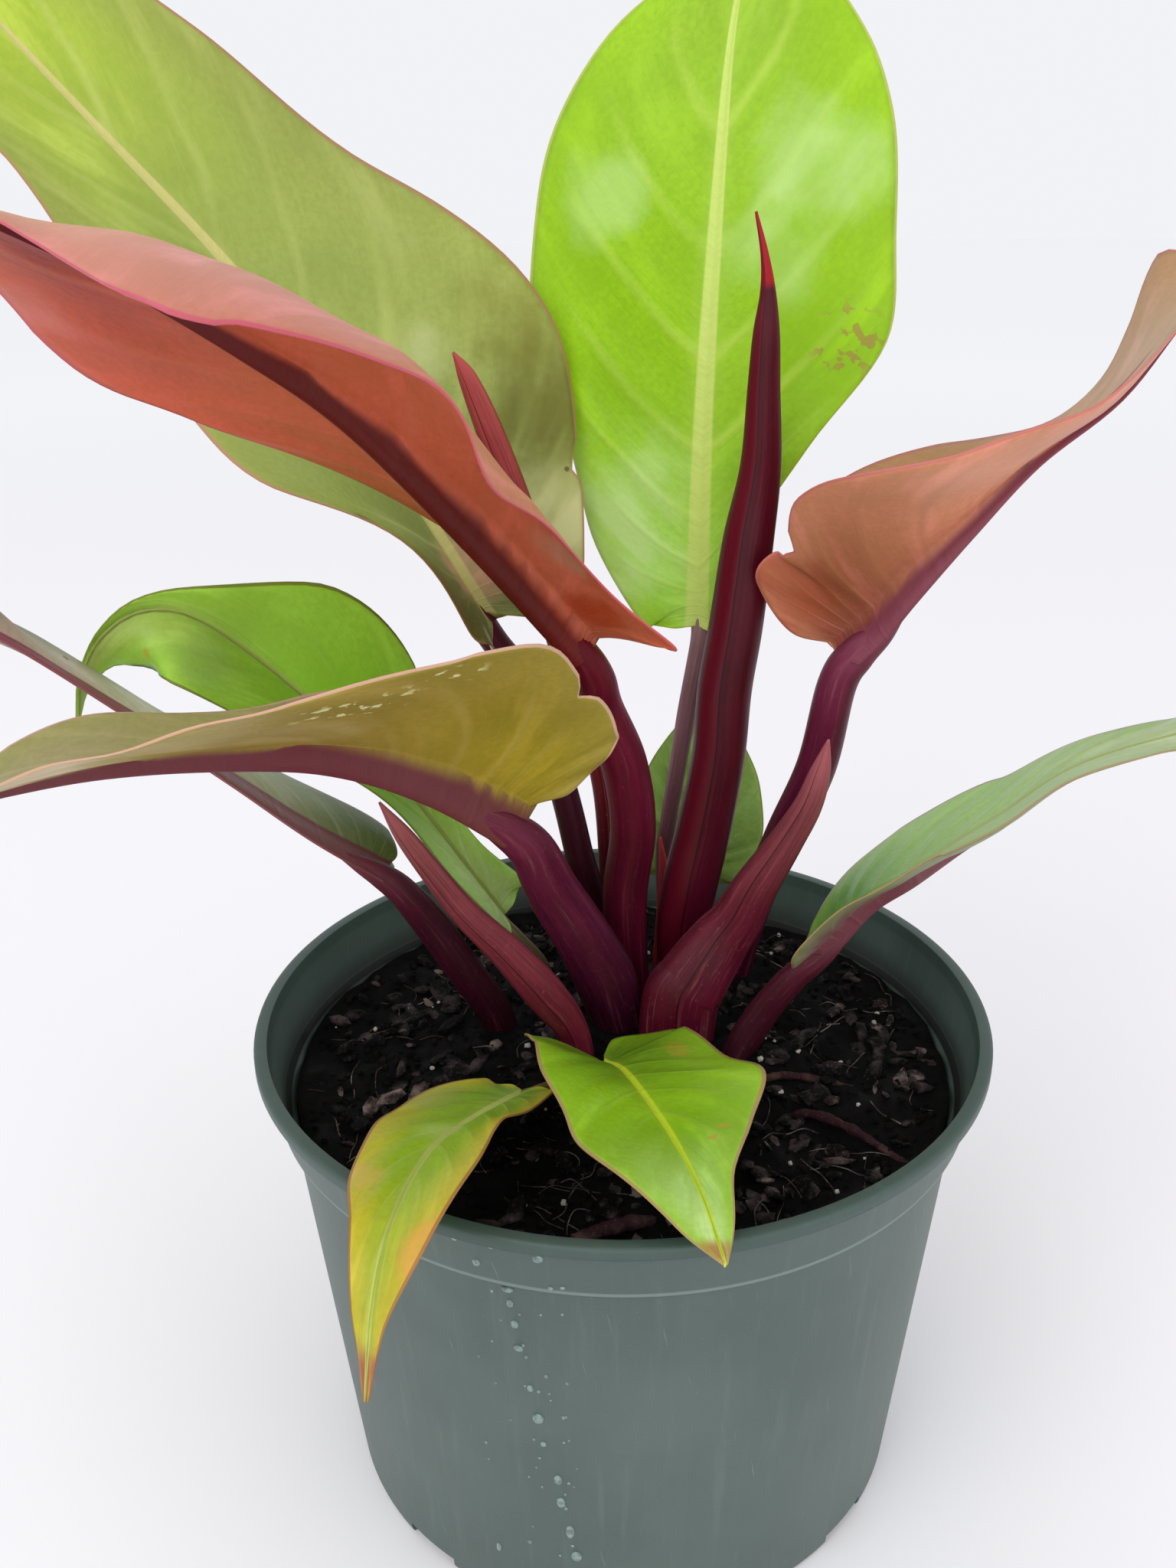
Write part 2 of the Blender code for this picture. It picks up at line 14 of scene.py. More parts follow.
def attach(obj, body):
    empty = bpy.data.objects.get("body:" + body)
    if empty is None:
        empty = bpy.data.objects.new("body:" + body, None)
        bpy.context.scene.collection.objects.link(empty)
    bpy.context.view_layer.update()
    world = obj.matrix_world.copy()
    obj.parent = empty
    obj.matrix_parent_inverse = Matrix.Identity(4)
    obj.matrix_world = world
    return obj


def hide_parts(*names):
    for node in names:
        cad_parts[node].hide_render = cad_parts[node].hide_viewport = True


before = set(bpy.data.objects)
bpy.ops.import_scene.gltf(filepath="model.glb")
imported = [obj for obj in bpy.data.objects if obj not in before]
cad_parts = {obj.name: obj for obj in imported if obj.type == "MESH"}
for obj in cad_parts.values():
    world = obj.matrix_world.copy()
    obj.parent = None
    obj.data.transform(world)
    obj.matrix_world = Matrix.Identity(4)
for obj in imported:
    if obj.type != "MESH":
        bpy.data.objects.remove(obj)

MM = 0.001
TURN = 2 * math.pi
MERGE_DISTANCE = 1e-7

# camera, as it stood for the photograph
IMAGE_HEIGHT = 2048
FOCAL_PIXELS = 1800
SENSOR = 36.0
CAMERA_PLACE = (0.0, -271.7, 280.3)
CAMERA_YAW = -1.44
CAMERA_DOWN = 22.54
CAMERA_ROLL = -0.78

# studio, in metres; a light is its name, place, target, size and power
FLOOR_RADIUS = 14
FLOOR_SIDES = 96
SKY = (0.93, 0.94, 0.97, 1)
SKY_STRENGTH = 0.95
LIGHTS = (("key", (-0.6, -0.8, 1.1), (0, 0, 0.15), 0.9, 6.0),
          ("fill", (1.0, -0.8, 0.9), (0, 0, 0.15), 1.2, 3.0),
          ("front", (0.1, -1.2, 0.2), (0, 0, 0.2), 1.0, 3.5))

# pot
POT_HEIGHT = 114.0
RIM_RADIUS = 82.0
LIP_WIDTH = 3.0
LIP_LOW_Z = 111.0
COLLAR_TOP_RADIUS = 79.8
COLLAR_LOW_RADIUS = 78.0
COLLAR_LOW_Z = 100.0
STEP_Z = 99.0
FOOT_Z = 1.5
BODY_TOP_RADIUS = 75.6
BASE_RADIUS = 66.5
WALL = 1.4
FLOOR = 2.0
POT_SIDES = 160
POT_CREASE = 50
DRAINS = 8
DRAIN_START = 0.1
DRAIN_SIZE = (9.0, 14.0, 7.0)

# soil
GAP = 0.3
SOIL_RADIUS = BODY_TOP_RADIUS - WALL
SOIL_LEVEL = 99.5
SOIL_RELIEF = 1.3
SOIL_SIDES = 120
SOIL_RINGS = 44
JAG = 0.22
TUMBLE = 0.35
# loose pieces: seed, count, sizes, proportions, share sunk, roundness and finish
LOOSE = (
    ("bark_chips", 5, 420, (3.0, 8.5), ((0.7, 1.1), (0.35, 0.7), (0.18, 0.4)), 0.35, 1,
     ("bark", (5, 4, 4), (116, 100, 98), 0.8, 0.45, 0.45)),
    # Pale grey bark chips: their pale tone is partly the bark's own and partly painted sheen.
    ("pale_bark", 8, 80, (3.5, 9.5), ((0.7, 1.1), (0.35, 0.7), (0.15, 0.3)), 0.25, 1,
     ("pale_bark_and_sheen", (34, 25, 24), (176, 156, 148), 0.75, 0.6, 0.4)),
    ("soil_crumbs", 6, 1500, (0.9, 2.6), ((0.7, 1.1), (0.5, 1.0), (0.4, 0.9)), 0.3, 1,
     ("crumb", (4, 4, 4), (40, 31, 28), 0.95)),
    ("white_grit", 7, 90, (0.5, 1.6), ((0.8, 1.1), (0.8, 1.1), (0.7, 1.0)), 0.25, 2,
     ("perlite", (176, 172, 162), (214, 210, 200), 0.9)),
)
FINE_ROOT_COUNT = 120
FINE_ROOT_STEP = 3.4
FINE_ROOT_THICKNESS = (0.08, 0.18)
FINE_DROP_COUNT = 46
FINE_DROP_HEIGHTS = (8, 97)
FINE_DROP_SIZES = (0.2, 0.4)
FINE_DROP_SPREAD = 5
TRAIL_FOOT = -8.3
TRAIL_LEAN = -0.137
DROP_DEPTH = 0.5
DROP_SUNK = 0.12
# drops that ran down the front: distance right of the middle, height, half width, half height
DROPS = ((-30.3, 109.5, 0.7, 0.8), (-23.5, 109.6, 0.6, 0.6), (-26.5, 104.3, 0.8, 0.9),
         (-15.0, 108.6, 1.1, 1.0), (-21.2, 96.4, 1.2, 0.7), (-20.9, 92.7, 0.7, 0.9),
         (-20.2, 87.4, 0.8, 1.0), (-19.7, 81.1, 1.0, 0.8), (-17.8, 70.4, 0.7, 0.9),
         (-16.5, 62.1, 1.2, 1.3), (-15.7, 54.7, 0.6, 0.7), (-13.0, 44.6, 0.9, 1.3),
         (-12.6, 37.6, 0.9, 1.4), (-10.9, 28.6, 0.9, 1.9), (-9.7, 20.8, 1.2, 1.4),
         (-26.5, 17.0, 0.6, 1.2), (-19.6, 22.4, 0.5, 0.5), (-12.9, 101.0, 0.5, 0.4),
         (-10.7, 101.4, 0.5, 0.4))

# blades
HALF_THICK = 0.32
EDGE_HALF_THICK = 0.16
BLADE_ROWS = 84
BLADE_COLUMNS = 52
COLUMN_CROWDING = 1.55
CURVE_STEPS = 160
VEIN_START = (0.0, 0.012, 0.025, 0.045, 0.08, 0.15, 0.26, 0.41, 0.58, 0.77, 1.0)
STATIONS = (0.0, 0.12, 0.26, 0.42, 0.58, 0.74, 0.88)
TIP_HALF = 0.5
FLAT_TIP = 0.88
LOBE_SHAPE = ((-0.35, 0.10), (-1.0, 0.42), (-0.68, 0.82))
VEIN_SWEEP = 1.4
FOLD_REACH = 0.55
MIDDLE_REACH = 0.32
FAR_START = 0.2
FAR_REACH = 0.6
LEAST_CURL = 0.1
RIB_DEPTH = 1.8
RIB_TAPER = 0.9
RIB_THINNEST = 0.12
RIB_GROOVE = 0.25
VEIN_PAIRS = 11
VEIN_RISE = 0.09
VEIN_SWELL = 0.2
SWELL_START = (0.16, 0.45)
ACROSS_SPAN = 200

# stems; a petiole's end runs on inside the rib, as shares of its radius: reach, radius and drop
JOINT_DROP = 0.85
BEND_BACK = 2.2
JOINT_REACH = ((1.8, 0.7, 0.84), (3.8, 0.3, 0.8))
STEM_SIDES = 28
RINGS_PER_POINT = 9
ROOT_RINGS_PER_POINT = 14
ROOT_LUMPS = 0.35
PETIOLE_FLAT = (0.85, 0.95)
ROLL_OVERLAP = 0.10
ROLL_DRIFT = 0.08
SEAM_TURN = 0.26
RIM_SHOWS = {"centre_spear": 0.9}
RIM_FAINT = 0.01


def half(lobe, widths, fold, curl=(0, 0), ripple=(0.5, 4, 0.0), notch=None):
    """One half of a blade: lobe length, half widths at STATIONS, then fold and curl.

    A fold or a curl is given at the base and far along, or at the base, the middle and far along.
    A ripple is its height, the waves in it and where they start; a notch is its place among the
    rows, its width and its depth.
    """
    return {"lobe": lobe, "widths": widths, "fold": fold, "curl": curl, "ripple": ripple,
            "notch": notch}


def leaf(midrib, face, twist, left, right, rib, petiole, radii):
    """Midrib points, where the upper face looks, twist, halves, rib radius and petiole."""
    return {"midrib": midrib, "face": face, "twist": twist, "left": left, "right": right,
            "rib": rib, "petiole": petiole, "radii": radii}


LEAVES = {
    "upright": leaf(
        [(18, 36, 192), (19, 43, 239), (22, 55, 286), (25, 66, 316), (30, 77, 339)],
        (-0.53, -0.8, 0.27), 0,
        half(1, (14, 27, 34, 46, 48, 43, 27), (11, 8), (-9, -11)),
        half(1, (8, 11, 24, 40, 40, 37, 25), (0, -10), (-5, -46)),
        2.4, [(13, 48, 90), (11, 46, 126), (12, 45, 138), (14, 43, 153), (16, 40, 169)],
        [2.5, 2.0, 2.0, 2.1, 2.3]),
    "broad_left": leaf(
        [(-31, 34, 196), (-56, 40, 236), (-85, 43, 272), (-108, 39, 299), (-124, 33, 319),
         (-136, 26, 336)],
        (0.64, -0.63, 0.44), 3,
        half(8, (27, 30, 42, 35, 28, 22, 18), (39, -5), (15, -4), ripple=(1.6, 5, 0.3)),
        half(8, (27, 40, 51, 49, 38, 31, 22), (34, 16), ripple=(1.0, 4, 0.1),
             notch=(0.385, 0.012, 0.07)),
        3.2, [(-6, 31, 90), (-7, 33, 120), (-10, 33, 135), (-14, 33, 154), (-21, 34, 177)],
        [3.4, 3.5, 3.5, 3.4, 3.3]),
    "red_left": leaf(
        [(-8, 2, 199), (-28, -14, 227), (-46, -27, 249), (-61, -39, 262), (-77, -49, 273),
         (-89, -58, 280), (-98, -68, 286)],
        (0.12, 0.71, 0.7), -28,
        half(1, (26, 21, 25, 41, 46, 56, 50), (-5, 27, 13), (-57, -191, -57)),
        half(10, (29, 27, 21, 23, 31, 39, 21), (44, -8), (1, -8)),
        4.0, [(3, 26, 90), (1, 22, 127), (3, 19, 148), (1, 15, 166), (-4, 10, 181)],
        [4.6, 5.3, 5.3, 5.2, 4.9]),
    "olive_left": leaf(
        [(-23, -8, 164), (-37, -16, 176), (-52, -23, 184), (-68, -31, 188), (-96, -40, 188),
         (-128, -46, 181)],
        (-0.11, 0.59, 0.8), -25,
        half(6, (32, 39, 54, 48, 34, 22, 19), (26, 3), (-17, 3), ripple=(0.5, 9, 0.0),
             notch=(0.405, 0.012, 0.08)),
        half(10, (28, 27, 23, 14, 13, 14, 10), (60, 40), (0, 3)),
        4.2, [(1, 17, 90), (-3, 13, 110), (-8, 9, 124), (-15, 2, 141)], [5.4, 7.4, 6.8, 6.0]),
    "arched_left": leaf(
        [(-29, 30, 120), (-39, 29, 136), (-52, 27, 157), (-65, 25, 172), (-81, 22, 189),
         (-93, 17, 200), (-103, 13, 202), (-111, 9, 197), (-115, 6, 189), (-116, 4, 181)],
        (0.65, -0.2, 0.73), -21,
        half(1, (18, 17, 12, 14, 18, 20, 8), (25, 0), (0, 12)),
        half(1, (14, 9, 10, 23, 24, 6, 2), (9, 42), (3, 10)),
        1.3, [(-16, 28, 90), (-19, 28, 106), (-25, 29, 114)], [1.6, 1.6, 1.5]),
    "slender_left": leaf(
        [(-54, 6, 144), (-68, 1, 156), (-83, -4, 171), (-99, -12, 188), (-118, -21, 207),
         (-128, -28, 215)],
        (-0.39, 0.91, 0.11), 6,
        half(4, (17, 20, 23, 23, 22, 17, 10), (61, 76), (35, 36)),
        half(5, (14, 16, 17, 16, 13, 9, 5), (92, 78), (0, 0)),
        2.9, [(-28, 14, 90), (-30, 12, 103), (-36, 10, 115), (-44, 8, 130)], [3.8, 4.1, 4.2, 4.0]),
    "bronze_right": leaf(
        [(51, 16, 193), (56, 14, 199), (61, 10, 208), (70, 5, 222), (80, 0, 236), (92, -6, 248),
         (100, -10, 261), (109, -15, 276)],
        (0.07, 0.95, 0.3), 24,
        half(9, (26, 32, 34, 31, 21, 29, 36), (122, 51), (26, 21)),
        half(7, (28, 27, 38, 43, 34, 21, 8), (8, -56), (2, 38), ripple=(0.3, 6, 0.0),
             notch=(0.42, 0.012, 0.09)),
        4.0, [(27, 38, 90), (33, 36, 118), (39, 31, 140), (45, 23, 162)], [4.0, 4.2, 4.6, 4.6]),
    "green_right": leaf(
        [(45, -2, 130), (53, -2, 140), (62, -3, 147), (72, -3, 155), (80, -5, 162), (95, -8, 175),
         (121, -17, 188)],
        (-0.62, -0.19, 0.76), -4,
        half(6, (13, 21, 28, 27, 22, 14, 11), (-14, -21)),
        half(6, (19, 22, 25, 26, 25, 21, 12), (40, 23), (10, 21)),
        2.4, [(24, -2, 90), (27, 1, 99), (33, 2, 110), (39, 0, 120)], [3.4, 3.8, 3.6, 3.2]),
    "small_back": leaf(
        [(18, 50, 122), (20, 52, 138), (21, 53, 154), (22, 53, 170)],
        (0.0, -0.9, 0.3), 0,
        half(2, (13, 16, 17, 16, 14, 10, 5), (10, 10)),
        half(2, (12, 15, 17, 16, 14, 10, 5), (10, 10)),
        1.2, [(21, 49, 90), (20, 49, 106)], [1.5, 1.4]),
    "small_front_right": leaf(
        [(-4, -13, 106), (1, -22, 109), (9, -48, 114), (14, -71, 118), (17, -92, 120)],
        (0.12, 0.12, 0.99), 4,
        half(10, (21, 21, 21, 23, 15, 7, 4), (13, 26)),
        half(12, (20, 22, 23, 21, 20, 14, 7), (23, 8)),
        1.4, [(1, -3, 90), (-2, -6, 98)], [1.6, 1.5]),
    "small_front_left": leaf(
        [(-21, -24, 106), (-30, -39, 110), (-36, -59, 117), (-39, -84, 122), (-41, -96, 115),
         (-42, -103, 101)],
        (-0.13, -0.01, 0.99), 3,
        half(2, (9, 11, 12, 14, 14, 10, 3), (13, 17)),
        half(1, (11, 17, 16, 13, 11, 6, 3), (1, 13)),
        1.4, [(-11, -9, 90), (-14, -14, 100)], [1.6, 1.5]),
}

# rolled young leaves and sheaths: points, half widths, depth share of width at foot and tip
SPEARS = {
    "centre_spear": (
        [(17, 31, 90), (15, 29, 112), (17, 28, 129), (20, 28, 144), (23, 27, 163), (24, 26, 180),
         (26, 25, 195), (28, 24, 214), (30, 23, 230), (30, 22, 246), (30, 21, 257), (30, 21, 265),
         (29, 20, 272), (27, 20, 280)],
        [5.0, 6.2, 7.0, 6.9, 6.5, 6.5, 6.3, 5.8, 4.6, 3.6, 2.9, 1.7, 0.9, 0.3], (0.8, 0.8)),
    "left_sheath": (
        [(-8, 1, 90), (-11, -2, 107), (-17, -5, 119), (-25, -9, 132), (-33, -12, 143),
         (-39, -15, 154), (-44, -18, 164), (-48, -20, 172)],
        [3.2, 3.9, 4.8, 4.0, 3.3, 2.7, 2.0, 0.3], (0.75, 0.75)),
    "right_sheath": (
        [(13, 7, 90), (14, 8, 108), (17, 9, 114), (23, 11, 123), (27, 11, 129), (31, 10, 138),
         (37, 8, 150), (41, 5, 160), (43, 3, 169), (44, 1, 177)],
        [9.0, 9.6, 9.0, 7.5, 6.4, 5.4, 4.1, 3.3, 2.3, 0.3], (0.45, 0.7)),
    "back_spear": (
        [(0, 42, 90), (-2, 41, 117), (-4, 36, 154), (-12, 31, 185), (-19, 30, 212), (-26, 27, 234),
         (-31, 25, 248), (-34, 24, 254)],
        [3.0, 3.0, 3.1, 3.3, 3.3, 3.2, 2.2, 0.3], (0.8, 0.8)),
    "bud_tip": (
        [(9, 39, 90), (11, 39, 122), (10, 39, 137)],
        [1.6, 1.6, 0.3], (0.9, 0.9)),
}

ROOTS = {
    "root_long": ([(34, -22, 97), (40, -24, 100.4), (46, -28, 101), (51, -33, 101), (59, -40, 99)],
                  [0.8, 1.0, 1.1, 1.0, 0.6]),
    "root_thin": ([(31, -8, 97), (35, -10, 100.4), (42, -11, 100.6), (52, -12, 98.5)],
                  [0.8, 0.9, 0.9, 0.7]),
    "root_stub": ([(6, -56, 98), (2, -60, 101.4), (-4, -63, 102), (-9, -66, 102.2)],
                  [1.4, 1.5, 1.4, 1.1]),
}


def skin(body, base, far, rib, edge, vein, rib_width=1.0, edge_width=1.0, vein_strength=0.35,
         margin=None, rough=0.36, coat=0.05, patches=()):
    """Colours of one face of a blade, and how strongly its marks show."""
    return {"body": body, "base": base, "far": far, "rib": rib, "edge": edge, "vein": vein,
            "rib_width": rib_width, "edge_width": edge_width, "vein_strength": vein_strength,
            "margin": margin or body, "rough": rough, "coat": coat, "patches": patches}


# upper face and under face of each blade; a patch is (share along, mm across, mm radius, colour,
# strength) and a True at its end breaks it into specks
FINISHES = {
    "upright": (
        # Upright upper face: the four pale bluish-green patches are painted sheen, and its pale
        # base colour carries painted sheen too.
        skin((140, 190, 7), (151, 209, 69), (143, 183, 42), (191, 212, 108), (196, 205, 110),
             (190, 214, 96), rib_width=2.0, edge_width=0.5, margin=(149, 198, 26),
             patches=[(0.41, 31, 10, (148, 118, 60), 0.7, True),
                      (0.12, -20, 28, (184, 218, 138), 0.8), (0.64, 20, 17, (184, 218, 138), 0.6),
                      (0.53, 14, 14, (180, 216, 130), 0.5), (0.62, -26, 15, (180, 216, 130), 0.5)]),
        skin((150, 178, 84), (150, 172, 84), (158, 186, 90), (196, 200, 130), (190, 190, 110),
             (176, 196, 110))),
    "broad_left": (
        # Broad-left upper face: the two dark olive patches on the right are painted shade, and the
        # two pale green patches, at the base lobe and further out, are painted highlights.
        skin((154, 169, 82), (127, 134, 80), (176, 201, 61), (199, 193, 121), (176, 128, 96),
             (186, 196, 112), rib_width=1.1, edge_width=0.6, margin=(152, 163, 80),
             patches=[(0.17, 38, 24, (92, 94, 22), 0.85), (0.26, 44, 16, (110, 112, 32), 0.6),
                      (0.05, 27, 17, (190, 192, 134), 0.95), (0.05, 2, 11, (198, 152, 122), 0.9),
                      (0.17, -34, 5, (76, 66, 54), 0.8), (0.3, 22, 9, (196, 206, 150), 0.4),
                      (0.28, -30, 3, (170, 130, 80), 0.8, True)]),
        skin((150, 160, 92), (150, 140, 92), (156, 168, 92), (150, 110, 100), (176, 128, 96),
             (170, 176, 110))),
    "red_left": (
        # Red-left: the upper face's pale pink far colour is painted sheen, and the under face's
        # pale tan patch on the lobe is a painted highlight.
        skin((197, 122, 102), (200, 126, 92), (224, 158, 142), (190, 100, 90), (190, 84, 104),
             (228, 178, 158), edge_width=0.6, rough=0.42),
        skin((205, 101, 71), (212, 115, 82), (133, 28, 15), (78, 4, 10), (200, 84, 96),
             (190, 104, 74), edge_width=0.6, margin=(208, 97, 70),
             patches=[(0.06, -11, 9, (176, 62, 24), 0.8), (0.18, -15, 8, (190, 134, 108), 0.8),
                      (0.82, 26, 10, (196, 120, 110), 0.5)])),
    "olive_left": (
        skin((150, 150, 84), (150, 150, 60), (158, 150, 110), (180, 170, 110), (206, 160, 140),
             (176, 176, 110)),
        # Olive-left under face: the pale cream patch far along is painted sheen; the pale specks
        # are the leaf's own marks.
        skin((149, 125, 53), (163, 142, 38), (169, 161, 98), (94, 26, 50), (214, 172, 146),
             (164, 146, 80), rib_width=1.15, edge_width=0.8, margin=(163, 143, 65),
             patches=[(0.4, -31, 11, (222, 218, 160), 0.95, True),
                      (0.32, -43, 6, (222, 218, 160), 0.95, True),
                      (0.8, -16, 16, (206, 186, 158), 0.7),
                      (0.42, -14, 12, (186, 168, 120), 0.35)])),
    "arched_left": (
        skin((148, 207, 48), (169, 198, 108), (171, 193, 95), (150, 166, 84), (112, 120, 50),
             (140, 176, 70), rib_width=1.4, margin=(155, 210, 61),
             patches=[(0.82, -9, 2.4, (196, 132, 60), 0.6), (0.7, -12, 12, (140, 180, 84), 0.6)]),
        skin((130, 150, 84), (120, 130, 80), (140, 160, 90), (150, 150, 90), (130, 130, 70),
             (150, 166, 96))),
    "slender_left": (
        skin((92, 122, 46), (88, 112, 40), (110, 126, 70), (120, 130, 70), (96, 60, 60),
             (120, 140, 76)),
        skin((212, 221, 179), (98, 122, 56), (170, 150, 130), (128, 62, 74), (84, 66, 52),
             (168, 174, 140), rib_width=1.5, edge_width=1.3, margin=(96, 118, 56))),
    "bronze_right": (
        skin((176, 134, 92), (170, 110, 76), (196, 160, 128), (150, 90, 90), (190, 110, 104),
             (196, 156, 116), edge_width=0.6),
        # Bronze-right under face: its body colour is set lighter than the leaf's own, as painted
        # light through the blade where its hollow lies in shade.
        skin((217, 140, 106), (140, 72, 46), (150, 84, 66), (124, 62, 80), (196, 112, 108),
             (178, 118, 84), edge_width=0.6, margin=(219, 145, 111), vein_strength=0.6,
             patches=[(0.01, 19, 14, (150, 70, 42), 0.7)])),
    "green_right": (
        # Green-right upper face: the pale far colour is a painted glossy reflection.
        skin((142, 186, 89), (88, 144, 56), (179, 202, 142), (158, 174, 104), (150, 120, 90),
             (140, 168, 92), rough=0.3, coat=0.3),
        skin((130, 140, 90), (124, 90, 84), (130, 140, 90), (118, 60, 72), (140, 90, 80),
             (150, 156, 104), rib_width=1.2)),
    "small_back": (
        skin((150, 196, 96), (140, 186, 84), (158, 204, 108), (184, 210, 130), (130, 150, 70),
             (160, 196, 104)),
        skin((120, 150, 60), (120, 150, 60), (120, 150, 60), (150, 160, 90), (120, 140, 60),
             (140, 166, 80))),
    "small_front_right": (
        # Small-front-right upper face: the pale far colour is a painted glossy highlight; the
        # orange and brown patches are the leaf's own colour.
        skin((146, 197, 25), (104, 146, 26), (190, 226, 129), (196, 219, 47), (168, 132, 92),
             (140, 180, 66), rib_width=1.2, edge_width=1.5, rough=0.28, coat=0.35,
             margin=(149, 198, 36),
             patches=[(0.1, -14, 4, (196, 140, 60), 0.5), (0.57, -8, 5, (190, 150, 60), 0.6, True),
                      (0.98, 1, 6, (170, 106, 66), 0.85)]),
        skin((136, 160, 74), (136, 150, 74), (136, 160, 74), (160, 170, 100), (168, 132, 92),
             (150, 170, 90))),
    "small_front_left": (
        # Small-front-left upper face: the pale green patch near the midrib is a painted highlight;
        # the yellow, orange and red-brown patches are the leaf's own colour.
        skin((141, 178, 9), (124, 158, 40), (176, 176, 60), (176, 190, 96), (150, 100, 60),
             (176, 190, 84), rib_width=1.2, edge_width=1.6, margin=(196, 179, 47), rough=0.32,
             patches=[(0.56, 10, 7, (208, 176, 88), 0.7), (0.76, -9, 6, (216, 150, 76), 0.6),
                      (0.31, 1, 8, (184, 204, 120), 0.5), (0.13, 14, 7, (124, 138, 70), 0.5),
                      (0.98, 0, 9, (150, 78, 66), 0.95)]),
        skin((150, 164, 84), (140, 160, 70), (180, 172, 100), (170, 176, 110), (150, 100, 60),
             (166, 176, 96))),
}

# stems: foot, middle, far and streak colours, roughness, and start and colour of a tip
STEM_SKINS = {
    "petiole_upright": ((104, 62, 70), (128, 88, 94), (146, 116, 116), (166, 142, 142), 0.42),
    "petiole_broad_left": ((44, 5, 20), (76, 14, 38), (106, 34, 54), (128, 62, 78), 0.36),
    "petiole_red_left": ((72, 6, 30), (106, 14, 44), (106, 8, 20), (150, 60, 84), 0.34),
    "petiole_olive_left": ((52, 6, 28), (96, 24, 54), (98, 30, 50), (140, 80, 92), 0.38),
    "petiole_arched_left": ((90, 70, 52), (118, 108, 66), (126, 130, 74), (150, 146, 96), 0.4),
    "petiole_slender_left": ((38, 5, 18), (66, 14, 34), (112, 50, 62), (128, 72, 82), 0.38),
    "petiole_bronze_right": ((60, 6, 30), (102, 24, 56), (122, 58, 78), (146, 84, 102), 0.36),
    "petiole_green_right": ((46, 8, 20), (80, 24, 40), (124, 62, 74), (134, 84, 90), 0.38),
    "petiole_small_back": ((96, 84, 56), (120, 112, 66), (130, 130, 76), (150, 140, 96), 0.4),
    "petiole_small_front_right": ((96, 70, 50), (130, 120, 60), (140, 150, 70), (160, 150, 90),
                                  0.4),
    "petiole_small_front_left": ((96, 70, 50), (130, 120, 60), (140, 150, 70), (160, 150, 90), 0.4),
    "centre_spear": ((76, 6, 30), (76, 4, 24), (80, 8, 24), (124, 30, 50), 0.34, 0.865,
                     (156, 22, 34)),
    "left_sheath": ((104, 22, 44), (118, 44, 56), (142, 74, 74), (168, 104, 98), 0.4),
    "right_sheath": ((84, 10, 34), (104, 26, 46), (160, 84, 90), (176, 108, 108), 0.38),
    "back_spear": ((90, 14, 32), (140, 48, 52), (172, 74, 72), (200, 116, 104), 0.38),
    "bud_tip": ((150, 30, 40), (176, 46, 54), (190, 60, 60), (210, 110, 90), 0.36),
}


def rgb(colour):
    """A display colour as the linear colour a shader takes."""
    linear = []
    for value in colour:
        value = value / 255
        linear.append(value / 12.92 if value <= 0.04045 else ((value + 0.055) / 1.055) ** 2.4)
    return (*linear, 1)


def arithmetic(operation, swapped=False):
    """A method that joins a wire and another value in a maths node."""
    def join(wire, other):
        return wire.math(operation, *((other, wire) if swapped else (wire, other)))
    return join


